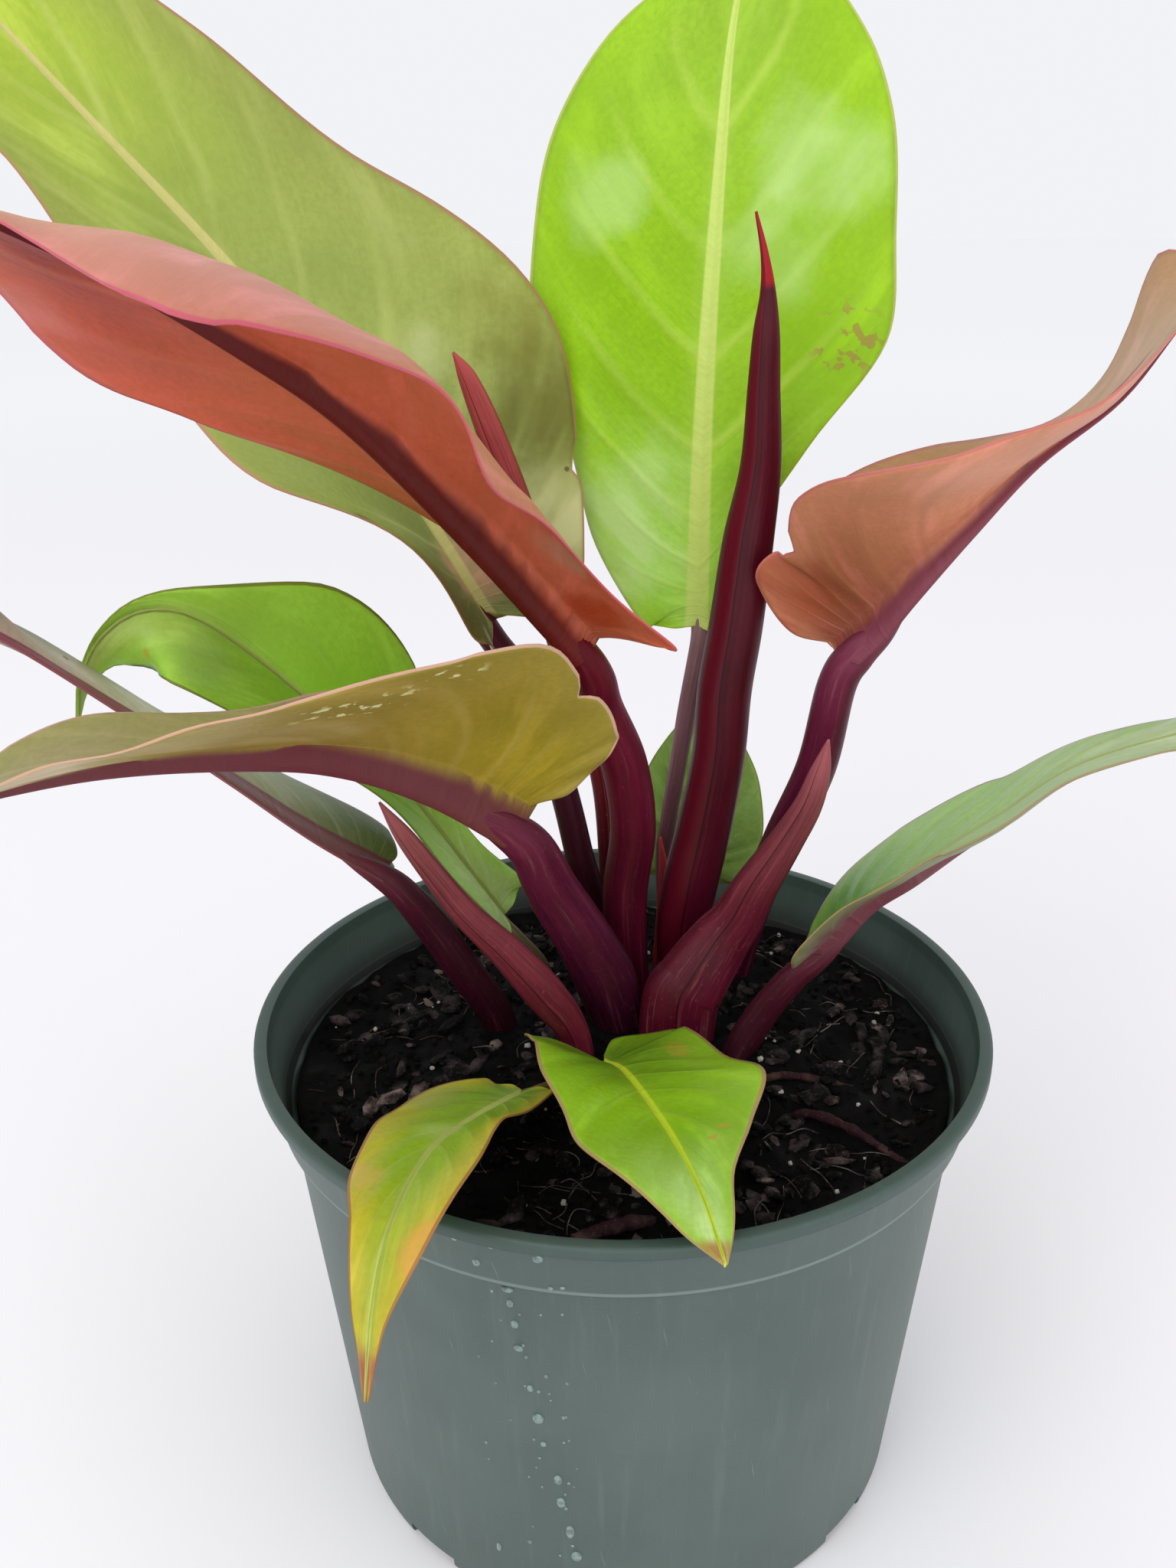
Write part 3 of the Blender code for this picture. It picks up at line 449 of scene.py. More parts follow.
class Wire:
    """A shader socket that Python arithmetic can use."""

    def __init__(self, tree, socket=None):
        self.tree = tree
        self.socket = socket

    def node(self, kind, settings, sockets, out=0):
        """An output of a new node, whose settings are set before its sockets."""
        made = self.tree.nodes.new("ShaderNode" + kind)
        for name, value in settings.items():
            setattr(made, name, value)
        for name, value in sockets.items():
            if isinstance(value, Wire):
                self.tree.links.new(value.socket, made.inputs[name])
            else:
                made.inputs[name].default_value = value
        return Wire(self.tree, made.outputs[out])

    def math(self, operation, *values):
        """The outcome of a maths node."""
        return self.node("Math", {"operation": operation}, dict(enumerate(values)))

    __add__ = arithmetic("ADD")
    __radd__ = arithmetic("ADD", swapped=True)
    __sub__ = arithmetic("SUBTRACT")
    __rsub__ = arithmetic("SUBTRACT", swapped=True)
    __mul__ = arithmetic("MULTIPLY")
    __rmul__ = arithmetic("MULTIPLY", swapped=True)
    __truediv__ = arithmetic("DIVIDE")
    __pow__ = arithmetic("POWER")

    def __abs__(self):
        return self.math("ABSOLUTE", self)

    def fraction(self):
        return self.math("FRACT", self)

    def step(self, low, high):
        """A soft change from 0 to 1 as this value goes from low to high."""
        return self.node("MapRange", {"interpolation_type": "SMOOTHSTEP"},
                         {"Value": self, "From Min": low, "From Max": high})

    def past(self, height, half):
        """A soft change from 0 to 1 as this value in metres passes a height in millimetres."""
        return self.step((height - half) * MM, (height + half) * MM)

    def tint(self, low, high):
        """The colour between low and high that this value gives."""
        low, high = (c if isinstance(c, Wire) else rgb(c) for c in (low, high))
        return self.node("Mix", {"data_type": "RGBA"}, {0: self, 6: low, 7: high}, out=2)

    def times(self, *factors):
        """This colour with its red, green and blue multiplied."""
        return self.node("Mix", {"data_type": "RGBA", "blend_type": "MULTIPLY"},
                         {0: 1.0, 6: self, 7: (*factors, 1)}, out=2)

    def uv(self, layer):
        """Where a point is in a UV layer."""
        return self.node("UVMap", {"uv_map": layer}, {})

    def place(self):
        """Where a point is on the object, in metres."""
        return self.node("TexCoord", {}, {}, out=3)

    def axis(self, k):
        """One part of this vector."""
        return self.node("SeparateXYZ", {}, {0: self}, out=k)

    def vector(self, *parts):
        """A vector of three parts."""
        return self.node("CombineXYZ", {}, dict(enumerate(parts)))

    def noise(self, scale, detail=3.0, rough=0.55):
        """Cloudy values around 0.5 at this place."""
        return self.node("TexNoise", {}, {"Vector": self, "Scale": scale, "Detail": detail,
                                          "Roughness": rough})

    def cells(self, scale):
        """How far this place is from the nearest of many scattered points."""
        return self.node("TexVoronoi", {"feature": "F1"}, {"Vector": self, "Scale": scale})

    def bump(self, strength, distance):
        """A normal for the relief that this height gives."""
        return self.node("Bump", {}, {"Height": self, "Strength": strength,
                                      "Distance": distance})


def new_finish(name):
    """An empty material, a wire to make nodes with, and its Principled shader."""
    material = bpy.data.materials.new(name)
    material.use_nodes = True
    shader = material.node_tree.nodes["Principled BSDF"]
    return material, Wire(material.node_tree), shader


def set_shader(shader, **values):
    """Set the shader's sockets to values or wires; underscores stand for spaces."""
    for name, value in values.items():
        socket = shader.inputs[name.replace("_", " ")]
        if isinstance(value, Wire):
            value.tree.links.new(value.socket, socket)
        else:
            socket.default_value = value


def leaf_marks(colour, look, length, along, across, here, cloud, bands):
    """A leaf colour with its patches and specks laid over it."""
    for share_along, mm_across, radius, mark, strength, *specks in look["patches"]:
        reach = (((along - share_along) * length) ** 2 + (across - mm_across) ** 2) ** 0.5
        spot = (1 - (reach / radius + (cloud - 0.5) * 1.6).step(0.3, 1.0)) * strength
        if specks:
            spot = spot * here.noise(300, 2).step(0.56, 0.60)
        else:
            spot = spot * (0.45 + bands.step(0.3, 0.6) * 0.55)
        colour = spot.tint(colour, mark)
    return colour


def leaf_finish(name, look, length, rib_radius, stalk_colour):
    """A leaf face: cloudy body colour with painted shade and painted sheen, soft veins, midrib,
    edge line, cells and marks.
    """
    material, wire, shader = new_finish(name)
    vein = wire.uv("vein")
    row = vein.axis(0)
    side = vein.axis(1) - 0.5
    share = abs(side) * 2
    spot = wire.uv("place")
    along = spot.axis(0)
    across = (spot.axis(1) - 0.5) * ACROSS_SPAN
    here = wire.place()
    broad = here.noise(16, 2)
    cloud = here.noise(45, 4)
    cells = here.cells(620)
    fine = here.noise(700, 3)
    vein_row = row - share * VEIN_RISE
    bands = wire.vector(vein_row * 20, share * 1.1, side * 3).noise(1, 2, 0.5)
    hairs = wire.vector(vein_row * 230, share * 5, side * 3).noise(1, 3, 0.7)
    wobble = (here.noise(30, 2) - 0.5) * 0.3
    beat = abs((vein_row * VEIN_PAIRS + wobble).fraction() - 0.5)
    lateral = (1 - beat.step(0, 0.13)) * (1 - share.step(0.5, 0.95))
    lateral = lateral * (bands.step(0.3, 0.7) * 0.7 + 0.3)
    colour = along.step(0, 0.4).tint(look["base"], look["body"])
    colour = along.step(0.45, 0.95).tint(colour, look["far"])
    colour = (share.step(0.4, 1) * 0.8).tint(colour, look["margin"])
    # Shaded and lit copies of the leaf colour; the lit copy is bluer, like a painted sky sheen.
    dark = colour.times(0.72, 0.76, 0.70)
    light = colour.times(1.16, 1.13, 1.45)
    # Fine grain mottles the colour a little toward both copies.
    grain = fine.step(0.35, 0.65)
    colour = ((1 - grain) * 0.3).tint(colour, dark)
    colour = (grain * 0.2).tint(colour, light)
    # Painted shade in broad cloudy patches, painted sheen in soft bands and fine streaks along the
    # veins, then darker fine streaks and cells.
    colour = (broad.step(0.62, 0.36) * 0.5 + cloud.step(0.62, 0.38) * 0.3).tint(colour, dark)
    colour = (bands.step(0.5, 0.72) * 0.7 + hairs.step(0.52, 0.75) * 0.22).tint(colour, light)
    colour = (hairs.step(0.5, 0.28) * 0.22 + cells.step(0.5, 0.95) * 0.2).tint(colour, dark)
    colour = (lateral * look["vein_strength"]).tint(colour, look["vein"])
    rib_half = (1 - along) ** 0.8 * (rib_radius * 0.62 * look["rib_width"]) + 0.2
    reach = abs(across) / rib_half
    rib_colour = along.step(0, 0.16).tint(stalk_colour or look["rib"], look["rib"])
    rib_colour = (hairs.step(0.4, 0.7) * 0.4).tint(rib_colour, rib_colour.times(0.8, 0.8, 0.8))
    colour = ((1 - reach.step(0.7, 3)) * 0.12).tint(colour, look["rib"])
    colour = leaf_marks(colour, look, length, along, across, here, cloud, bands)
    colour = ((1 - reach.step(0.78, 1.08)) * 0.92).tint(colour, rib_colour)
    colour = ((1 - here.cells(36).step(0.020, 0.034)) * 0.75).tint(colour, (66, 52, 30))
    line = 1 - 0.016 * look["edge_width"]
    colour = (share.step(line - 0.012, line) * 0.85).tint(colour, look["edge"])
    relief = bands * 0.5 + lateral * 0.5 + hairs * 0.3 + fine * 0.2 + cells * 0.25
    set_shader(shader, Base_Color=colour,
               Roughness=look["rough"] + broad.step(0.35, 0.7) * 0.14 + fine * 0.06,
               Coat_Weight=look["coat"], Coat_Roughness=0.22, Specular_IOR_Level=0.16,
               Subsurface_Weight=0.06, Subsurface_Scale=0.003, Normal=relief.bump(0.4, 0.0006))
    return material


def stem_finish(name, look, seam):
    """A fleshy stem: dark foot, lighter far end, bands of painted shade, and fine pale streaks
    along its length that are partly painted sheen.
    """
    material, wire, shader = new_finish(name)
    foot, middle, far, streak_colour, rough, *tip = look
    around = wire.uv("vein")
    length = around.axis(0)
    turn = around.axis(1)
    here = wire.place()
    bands = wire.vector(length * 2.2, turn * 11, 0).noise(1)
    lines = wire.vector(length * 6, turn * 60, 0).noise(1, 4, 0.7)
    cloud = here.noise(60, 4)
    fine = here.noise(900)
    colour = length.step(0.05, 0.5).tint(foot, middle)
    colour = length.step(0.45, 0.95).tint(colour, far)
    marked = 1 - length.step(0.8, 0.95) * 0.8
    # Painted shade: dark bands and clouds along the stem.
    shade = bands.step(0.56, 0.36) * 0.6 + cloud.step(0.6, 0.35) * 0.35
    colour = (shade * marked).tint(colour, colour.times(0.55, 0.5, 0.55))
    # Pale streaks along the stem: partly its own lines, partly painted sheen.
    streak = bands.step(0.55, 0.75) * 0.35 + lines.step(0.54, 0.72) * 0.35
    colour = (streak * marked).tint(colour, streak_colour)
    colour = (fine.step(0.6, 0.8) * 0.25).tint(colour, streak_colour)
    if tip:
        start, tip_colour = tip
        colour = length.step(start - 0.015, start + 0.01).tint(colour, tip_colour)
    if seam:
        flap = turn.step(0.16, 0.13) * (0.12 + 0.6 * seam)
        colour = flap.tint(colour, (92, 8, 28))
        # Near-black lines along the rolled edge and where the inner layer runs under it: painted
        # shadow.
        fold = 1 - (abs(turn - 0.14) * 110).step(0.3, 1.2)
        colour = (fold * 0.35 + turn.step(0.985, 0.996) * 0.8).tint(colour, (28, 2, 10))
        rim = (1 - (abs(turn - 0.68) * 60).step(0.4, 1)) * length.step(0.45, 0.7)
        colour = (rim * seam).tint(colour, (206, 176, 170))
    relief = lines * 0.5 + bands * 0.4 + fine * 0.2
    set_shader(shader, Base_Color=colour, Roughness=rough + cloud * 0.14, Coat_Weight=0.05,
               Coat_Roughness=0.25, Specular_IOR_Level=0.16, Normal=relief.bump(0.35, 0.0005))
    return material


def pot_finish():
    """Satin moulded plastic with a fine grain, faint scratches, dust, a painted highlight along the
    collar's lower ridge, and an inside painted dark as shade.
    """
    material, wire, shader = new_finish("pot_plastic")
    here = wire.place()
    x, y, z = (here.axis(k) for k in range(3))
    radius = (x ** 2 + y ** 2) ** 0.5
    turn = wire.math("ARCTAN2", y, x)
    trickle = wire.vector(turn * 26, z * 30, radius * 40).noise(1, 4)
    scratch = wire.vector(turn * 95 + z * 260, z * 30 - turn * 6, 0).noise(1, 2).step(0.71, 0.75)
    cloud = here.noise(24, 4)
    grain = here.noise(1500)
    colour = cloud.step(0.35, 0.7).tint((67, 84, 78), (78, 94, 88))
    colour = (trickle.step(0.52, 0.74) * 0.14).tint(colour, (112, 130, 122))
    colour = (scratch * 0.22).tint(colour, (150, 162, 155))
    colour = (grain.step(0.62, 0.74) * 0.25).tint(colour, (110, 128, 120))
    colour = (z.past(STEP_Z, 0.5) * 0.15).tint(colour, (56, 76, 70))
    # A thin light line along the ridge at the collar's foot: a painted highlight.
    ridge = 1 - abs(z - COLLAR_LOW_Z * MM).past(0.55, 0.25)
    colour = (ridge * 0.5).tint(colour, (130, 146, 140))
    colour = (z.past(LIP_LOW_Z, 0.5) * 0.55).tint(colour, (48, 68, 61))
    # The inner wall is painted dark as shade, and darker still in a band just above the soil.
    wall = (radius - (z - COLLAR_LOW_Z * MM) * 0.13).past(COLLAR_LOW_RADIUS - WALL, -0.4)
    inside = wall * z.past(STEP_Z, 0.2) * (1 - z.past(POT_HEIGHT - 1, 0.5))
    colour = (inside * 0.9).tint(colour, (28, 42, 36))
    soil_line = inside * (1 - (z + (cloud - 0.5) * 0.008).past(SOIL_LEVEL + 4.25, 2.25))
    colour = (soil_line * 0.8).tint(colour, (16, 15, 13))
    relief = grain * 0.5 + scratch * 0.3 + cloud * 0.3
    set_shader(shader, Base_Color=colour, Roughness=0.40 + cloud * 0.12 + grain * 0.06,
               Specular_IOR_Level=0.45, Normal=relief.bump(0.15, 0.0003))
    return material


def soil_finish(name, dark, light, rough, spread=0.4, damp=0.3):
    """Wet potting mix, bark or grit: broken dark and light brown with damp gloss."""
    material, wire, shader = new_finish(name)
    here = wire.place()
    cloud = here.noise(160, 4)
    fine = here.noise(1400, 4, 0.7)
    wet = here.noise(90, 2)
    mixed = cloud.step(0.45, 0.75) * spread + fine.step(0.52, 0.8) * spread
    set_shader(shader, Base_Color=mixed.tint(dark, light), Specular_IOR_Level=0.12,
               Roughness=rough - wet.step(0.5, 0.72) * damp,
               Normal=(fine * 0.8 + cloud * 0.5).bump(0.7, 0.0009))
    return material


def drop_finish():
    """Beads of water on green plastic, drawn opaque: a little lighter than the pot as painted light
    in place of the light through clear water, and very glossy.
    """
    material, wire, shader = new_finish("water_beads")
    cloud = wire.place().noise(900, 2)
    # Painted light: the beads' lighter green stands in for light through the water.
    colour = cloud.step(0.35, 0.65).tint((84, 104, 96), (118, 138, 130))
    set_shader(shader, Base_Color=colour, Roughness=0.08 + cloud * 0.04,
               Coat_Weight=0.6, Coat_Roughness=0.03, Specular_IOR_Level=0.5)
    return material


def floor_finish():
    """A pale studio floor, a little lighter far away."""
    material, wire, shader = new_finish("studio_floor")
    here = wire.place()
    reach = (here.axis(0) ** 2 + here.axis(1) ** 2) ** 0.5
    away = (reach + (here.noise(3, 2) - 0.5) * 0.05).step(0.1, 2.6)
    set_shader(shader, Base_Color=away.tint((242, 240, 242), (254, 254, 254)), Roughness=0.9,
               Specular_IOR_Level=0.1)
    return material


def unit(vectors):
    """Vectors scaled to length one."""
    return vectors / np.maximum(np.linalg.norm(vectors, axis=-1, keepdims=True), 1e-9)


def through(points, share):
    """A smooth curve through the points, read at shares 0 to 1 of its way."""
    points = np.asarray(points, float)
    last = len(points) - 1
    place = np.clip(np.asarray(share, float), 0, 1) * last
    index = np.minimum(place.astype(int), last - 1)
    f = (place - index)[..., None]
    padded = np.vstack([2 * points[0] - points[1], points, 2 * points[-1] - points[-2]])
    a, b, c, d = padded[index], padded[index + 1], padded[index + 2], padded[index + 3]
    return 0.5 * (2 * b + (c - a) * f + (2 * a - 5 * b + 4 * c - d) * f**2
                  + (3 * b - a - 3 * c + d) * f**3)


def smooth_step(x, low, high):
    """A soft change from 0 to 1 between two values."""
    t = np.clip((x - low) / (high - low), 0, 1)
    return t * t * (3 - 2 * t)


class Midrib:
    """A curve in space read by distance along it, running on straight past its ends."""

    def __init__(self, points):
        self.points = through(points, np.linspace(0, 1, CURVE_STEPS))
        steps = np.linalg.norm(np.diff(self.points, axis=0), axis=1)
        self.run = np.concatenate([[0], np.cumsum(steps)])
        self.length = self.run[-1]
        self.heading = unit(np.gradient(self.points, axis=0))

    def along(self, values, x):
        """Values known at each point of the curve, read at distances x."""
        return np.stack([np.interp(x, self.run, values[:, k]) for k in range(3)], -1)

    def read(self, x):
        """The places at distances x, and the headings there."""
        on = np.clip(x, 0, self.length)
        ahead = unit(self.along(self.heading, on))
        return self.along(self.points, on) + ahead * (x - on)[..., None], ahead


def outline(length, side):
    """Rows of one half: midrib start, margin x and margin y."""
    rows = [(0, back * side["lobe"], out * side["widths"][0]) for back, out in LOBE_SHAPE]
    rows += [(0, s * length, w) for s, w in zip(STATIONS, side["widths"])]
    rows = np.array(rows + [(0, length, TIP_HALF)], float)
    rows[:, 0] = np.array(VEIN_START) * length
    return rows


def changing(values, x):
    """A fold or curl at a share of the way along the blade."""
    if len(values) == 2:
        return values[0] + (values[1] - values[0]) * smooth_step(x, 0, FOLD_REACH)
    return (values[0] + (values[1] - values[0]) * smooth_step(x, 0, MIDDLE_REACH)
            + (values[2] - values[1]) * smooth_step(x, FAR_START, FAR_REACH))


def facing(leaf, ahead, share):
    """Upward normals square to the heading, turned by the leaf's twist."""
    face = np.asarray(leaf["face"], float)
    normal = unit(face - ahead * (ahead @ face)[..., None])
    turn = np.radians(leaf["twist"]) * np.clip(share, 0, 1)[..., None]
    return unit(normal * np.cos(turn) + np.cross(ahead, normal) * np.sin(turn))


def half_points(leaf, rib, side, sign, row, share):
    """Middle points of one half blade, with the upward normal and the place on the leaf."""
    start, reach, across = through(outline(rib.length, side), row).T
    x = start + (reach - start) * share**VEIN_SWEEP
    y = across * share
    if side["notch"]:
        centre, width, depth = side["notch"]
        y = y * (1 - depth * np.exp(-((row - centre) / width) ** 2) * share**6)
    place, ahead = rib.read(x)
    normal = facing(leaf, ahead, x / rib.length)
    beside = np.cross(ahead, normal)
    flat = smooth_step(row, FLAT_TIP, 1)
    fold = np.radians(changing(side["fold"], x / rib.length)) * (1 - flat)
    curl = changing(side["curl"], x / rib.length)
    curl = np.radians(np.where(np.abs(curl) < LEAST_CURL, LEAST_CURL, curl)) / max(side["widths"])
    bend = fold + curl * y
    out = (np.sin(bend) - np.sin(fold)) / curl
    rise = (np.cos(fold) - np.cos(bend)) / curl
    size, count, phase = side["ripple"]
    rise = rise + size * np.sin(TURN * (count * row + phase)) * share**2 * (1 - flat)
    swell = np.sin(TURN * (VEIN_PAIRS * (row - VEIN_RISE * share) + 0.3 * sign))
    swell = swell * np.sin(math.pi * share) * smooth_step(row, *SWELL_START) * (1 - flat)
    rise = rise + VEIN_SWELL * swell
    points = place + sign * beside * out[:, None] + normal * rise[:, None]
    return points, normal, x, y * sign


def blade_points(leaf, rib, row, share):
    """The same for both halves, where share runs from -1 at the left margin to 1."""
    left = half_points(leaf, rib, leaf["left"], -1, row, np.abs(share))
    right = half_points(leaf, rib, leaf["right"], 1, row, np.abs(share))
    pick = share < 0
    return [np.where(pick[:, None] if a.ndim == 2 else pick, a, b) for a, b in zip(left, right)]


def blade_normals(leaf, rib, row, share):
    """Normals of the middle surface, from points just beside each point."""
    low, high = np.maximum(row - 0.003, 0), np.minimum(row + 0.003, 1)
    along = blade_points(leaf, rib, high, share)[0] - blade_points(leaf, rib, low, share)[0]
    low, high = np.maximum(share - 0.01, -1), np.minimum(share + 0.01, 1)
    over = blade_points(leaf, rib, row, high)[0] - blade_points(leaf, rib, row, low)[0]
    return unit(np.cross(along, over))


def add_object(name, data):
    """A new object in the scene."""
    made = bpy.data.objects.new(name, data)
    bpy.context.scene.collection.objects.link(made)
    return made


def finish_mesh(name, shape, materials):
    """Turn a bmesh into an object with its materials."""
    mesh = bpy.data.meshes.new(name)
    shape.to_mesh(mesh)
    shape.free()
    for material in materials:
        mesh.materials.append(material)
    return add_object(name, mesh)


def finish_shape(name, shape, materials, cad_nodes, smooth=True):
    """Turn a bmesh into a piece that rides on the root body."""
    piece = finish_mesh(name, shape, materials)
    piece.data.polygons.foreach_set("use_smooth", [smooth] * len(piece.data.polygons))
    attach(piece, "root")
    if cad_nodes:
        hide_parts(*cad_nodes)
    return piece


def grid_sheet(shape, columns, rows):
    """A flat grid whose vertices give their place as two shares from 0 to 1."""
    made = bmesh.ops.create_grid(shape, x_segments=columns, y_segments=rows, size=0.5)["verts"]
    return made, np.array([(v.co.x + 0.5, v.co.y + 0.5) for v in made])


def move_to(verts, points):
    """Put the vertices at points given in millimetres."""
    for vert, point in zip(verts, points):
        vert.co = Vector(point) * MM


def add_blade(name, leaf):
    """A closed blade: upper and lower sheet joined round the margin, midrib raised below."""
    rib = Midrib(leaf["midrib"])
    shape = bmesh.new()
    sheets, uv_of = [], {}
    for face_side in (1, -1):
        verts, shares = grid_sheet(shape, BLADE_COLUMNS, BLADE_ROWS)
        spread = shares[:, 0] * 2 - 1
        share = np.sign(spread) * np.abs(spread) ** COLUMN_CROWDING
        row = shares[:, 1]
        middle, up, x, y = blade_points(leaf, rib, row, share)
        normal = blade_normals(leaf, rib, row, share)
        if np.sum(normal * up) < 0:
            normal = -normal
        thick = EDGE_HALF_THICK + (HALF_THICK - EDGE_HALF_THICK) * (1 - np.abs(share) ** 6)
        radius = leaf["rib"] * np.clip(1 - x / rib.length, RIB_THINNEST, 1) ** RIB_TAPER
        inside = np.clip(1 - (y / radius) ** 2, 0, 1)
        if face_side == 1:
            points = middle + normal * (thick - RIB_GROOVE * inside**2)[:, None]
        else:
            ridge = up * (RIB_DEPTH * radius * inside**0.5)[:, None]
            points = middle - normal * thick[:, None] - ridge
        move_to(verts, points)
        for vert, r, s, a, b in zip(verts, row, share, x / rib.length, y):
            uv_of[vert] = ((r, 0.5 + 0.5 * s), (a, 0.5 + b / ACROSS_SPAN))
        sheets.append({face for vert in verts for face in vert.link_faces})
    for face in sheets[1]:
        face.material_index = 1
    bmesh.ops.reverse_faces(shape, faces=list(sheets[1]))
    bmesh.ops.bridge_loops(shape, edges=[edge for edge in shape.edges if edge.is_boundary])
    bmesh.ops.recalc_face_normals(shape, faces=shape.faces)
    layers = [shape.loops.layers.uv.new(layer) for layer in ("vein", "place")]
    for face in shape.faces:
        for loop in face.loops:
            for layer, uv in zip(layers, uv_of[loop.vert]):
                loop[layer].uv = uv
    upper, under = FINISHES[name]
    stalk_colour = STEM_SKINS["petiole_" + name][2]
    materials = [leaf_finish(name + "_upper", upper, rib.length, leaf["rib"], None),
                 leaf_finish(name + "_under", under, rib.length, leaf["rib"] * 1.5, stalk_colour)]
    node = "blade_" + name
    return finish_shape("leaf_" + name, shape, materials, [node])


def tube(shape, points, radii, flat, rings, overlap=0.0, seam_turn=0.0, rough=0.0,
         sides=STEM_SIDES):
    """A tapering round stem; an overlap winds it as a rolled leaf with a step along it."""
    verts, shares = grid_sheet(shape, sides, rings)
    turn, share = shares[:, 0], shares[:, 1]
    line = through(points, share)
    radius = through(np.asarray(radii, float)[:, None], share)[:, 0]
    ahead = unit(through(points, share + 0.004) - through(points, share - 0.004))
    beside = unit(np.cross(ahead, np.array([0.0, -1.0, 0.3])))
    inward = np.cross(beside, ahead)
    thin = flat[0] + (flat[1] - flat[0]) * share
    wound = np.where(turn > 0.999, 0, turn)
    angle = TURN * (turn + seam_turn + ROLL_DRIFT * share * bool(overlap))
    size = radius * (1 - overlap * wound)
    if rough:
        lumps = [noise.noise(Vector(p) * 0.35) + 0.5 * noise.noise(Vector(p) * 1.1) for p in line]
        size = size * (1 + rough * np.array(lumps))
    move_to(verts, line + beside * (size * np.cos(angle))[:, None]
            + inward * (size * thin * np.sin(angle))[:, None])
    layer = shape.loops.layers.uv.get("vein") or shape.loops.layers.uv.new("vein")
    uv_of = dict(zip(verts, zip(share, turn)))
    for face in {face for vert in verts for face in vert.link_faces}:
        for loop in face.loops:
            loop[layer].uv = uv_of[loop.vert]
    bmesh.ops.remove_doubles(shape, verts=verts, dist=MERGE_DISTANCE)


def close_ends(shape):
    """Cap every open end."""
    bmesh.ops.holes_fill(shape, edges=[e for e in shape.edges if e.is_boundary])
    bmesh.ops.recalc_face_normals(shape, faces=shape.faces)


def petiole_path(leaf):
    """The petiole's points and radii, running on inside the midrib under the blade."""
    rib = Midrib(leaf["midrib"])
    joint, ahead = rib.read(np.array([0.0]))
    up = facing(leaf, ahead, np.array([0.0]))[0]
    joint, ahead = joint[0], ahead[0]
    radius = leaf["rib"]
    end = joint - up * JOINT_DROP * radius
    turn = unit(0.8 * ahead + unit(end - np.array(leaf["petiole"][-1], float)))
    points = [*leaf["petiole"], tuple(end - turn * BEND_BACK * radius), tuple(end)]
    radii = [*leaf["radii"], (leaf["radii"][-1] + radius) / 2, radius]
    for reach, shrink, drop in JOINT_REACH:
        x = np.array([reach * radius])
        place, ahead = rib.read(x)
        up = facing(leaf, ahead, x / rib.length)[0]
        points.append(tuple(place[0] - up * radius * drop))
        radii.append(radius * shrink)
    return points, radii


def add_stem(name, points, radii, flat, overlap=0.0, seam_turn=0.0):
    """One stem, sheath or rolled leaf that stands in the soil."""
    shape = bmesh.new()
    tube(shape, points, radii, flat, RINGS_PER_POINT * len(points), overlap, seam_turn)
    close_ends(shape)
    seam = overlap and RIM_SHOWS.get(name, RIM_FAINT)
    material = stem_finish(name + "_skin", STEM_SKINS[name], seam)
    label = name.replace("petiole", "stalk") if name.startswith("petiole") else "rolled_" + name
    return finish_shape(label, shape, [material], [name])


def add_root(name, points, radii, material):
    """A thick, lumpy root lying on the soil."""
    shape = bmesh.new()
    tube(shape, points, radii, (1, 1), ROOT_RINGS_PER_POINT * len(points), rough=ROOT_LUMPS)
    close_ends(shape)
    return finish_shape("thick_" + name, shape, [material], [name])


def soil_height(x, y):
    """The lumpy level of the soil."""
    lumps = (math.sin(0.21 * x + 1.3) * math.cos(0.17 * y)
             + 0.7 * math.sin(0.43 * y - 0.31 * x + 0.6)
             + 0.5 * math.cos(0.61 * x + 0.37 * y))
    return SOIL_LEVEL + SOIL_RELIEF * lumps / 2


def crumble(x, y):
    """Fine roughness on the soil's top."""
    spot = Vector((x, y, 0))
    return (1.1 * noise.noise(spot * 0.22) + 0.8 * noise.noise(spot * 0.55)
            + 0.5 * noise.noise(spot * 1.3))


def spun(profile, sides):
    """A closed body turned about the z axis from radius and height pairs."""
    shape = bmesh.new()
    verts = [shape.verts.new((radius * MM, 0, z * MM)) for radius, z in profile]
    edges = [shape.edges.new(pair) for pair in zip(verts, verts[1:])]
    bmesh.ops.spin(shape, geom=verts + edges, axis=(0, 0, 1), cent=(0, 0, 0), steps=sides,
                   angle=TURN, use_merge=True)
    bmesh.ops.remove_doubles(shape, verts=shape.verts, dist=MERGE_DISTANCE)
    bmesh.ops.recalc_face_normals(shape, faces=shape.faces)
    return shape


def add_soil():
    """The bed of potting mix that fills the pot."""
    top_radius = SOIL_RADIUS - GAP
    foot_radius = BASE_RADIUS - WALL - GAP
    profile = [(0, FLOOR + GAP), (foot_radius, FLOOR + GAP), (top_radius, STEP_Z - 1.2)]
    profile += [(top_radius * (1 - i / SOIL_RINGS), SOIL_LEVEL) for i in range(SOIL_RINGS + 1)]
    shape = spun(profile, SOIL_SIDES)
    for vert in shape.verts:
        if abs(vert.co.z - SOIL_LEVEL * MM) < 1e-6:
            x, y = vert.co.x / MM, vert.co.y / MM
            rim = math.hypot(x, y) / top_radius
            vert.co.z = (soil_height(x, y) + crumble(x, y) * (1 - rim**8)) * MM
    material = soil_finish("potting_mix", (3, 3, 3), (26, 21, 20), 0.9, 0.4, 0.4)
    return finish_shape("soil_bed", shape, [material], ["soil"])


def clear_of_stems(x, y, room):
    """Whether a spot on the soil is free of stems and thick roots."""
    return all(math.hypot(point[0] - x, point[1] - y) >= radius + room
               for points, radii in STANDING for point, radius in zip(points, radii))


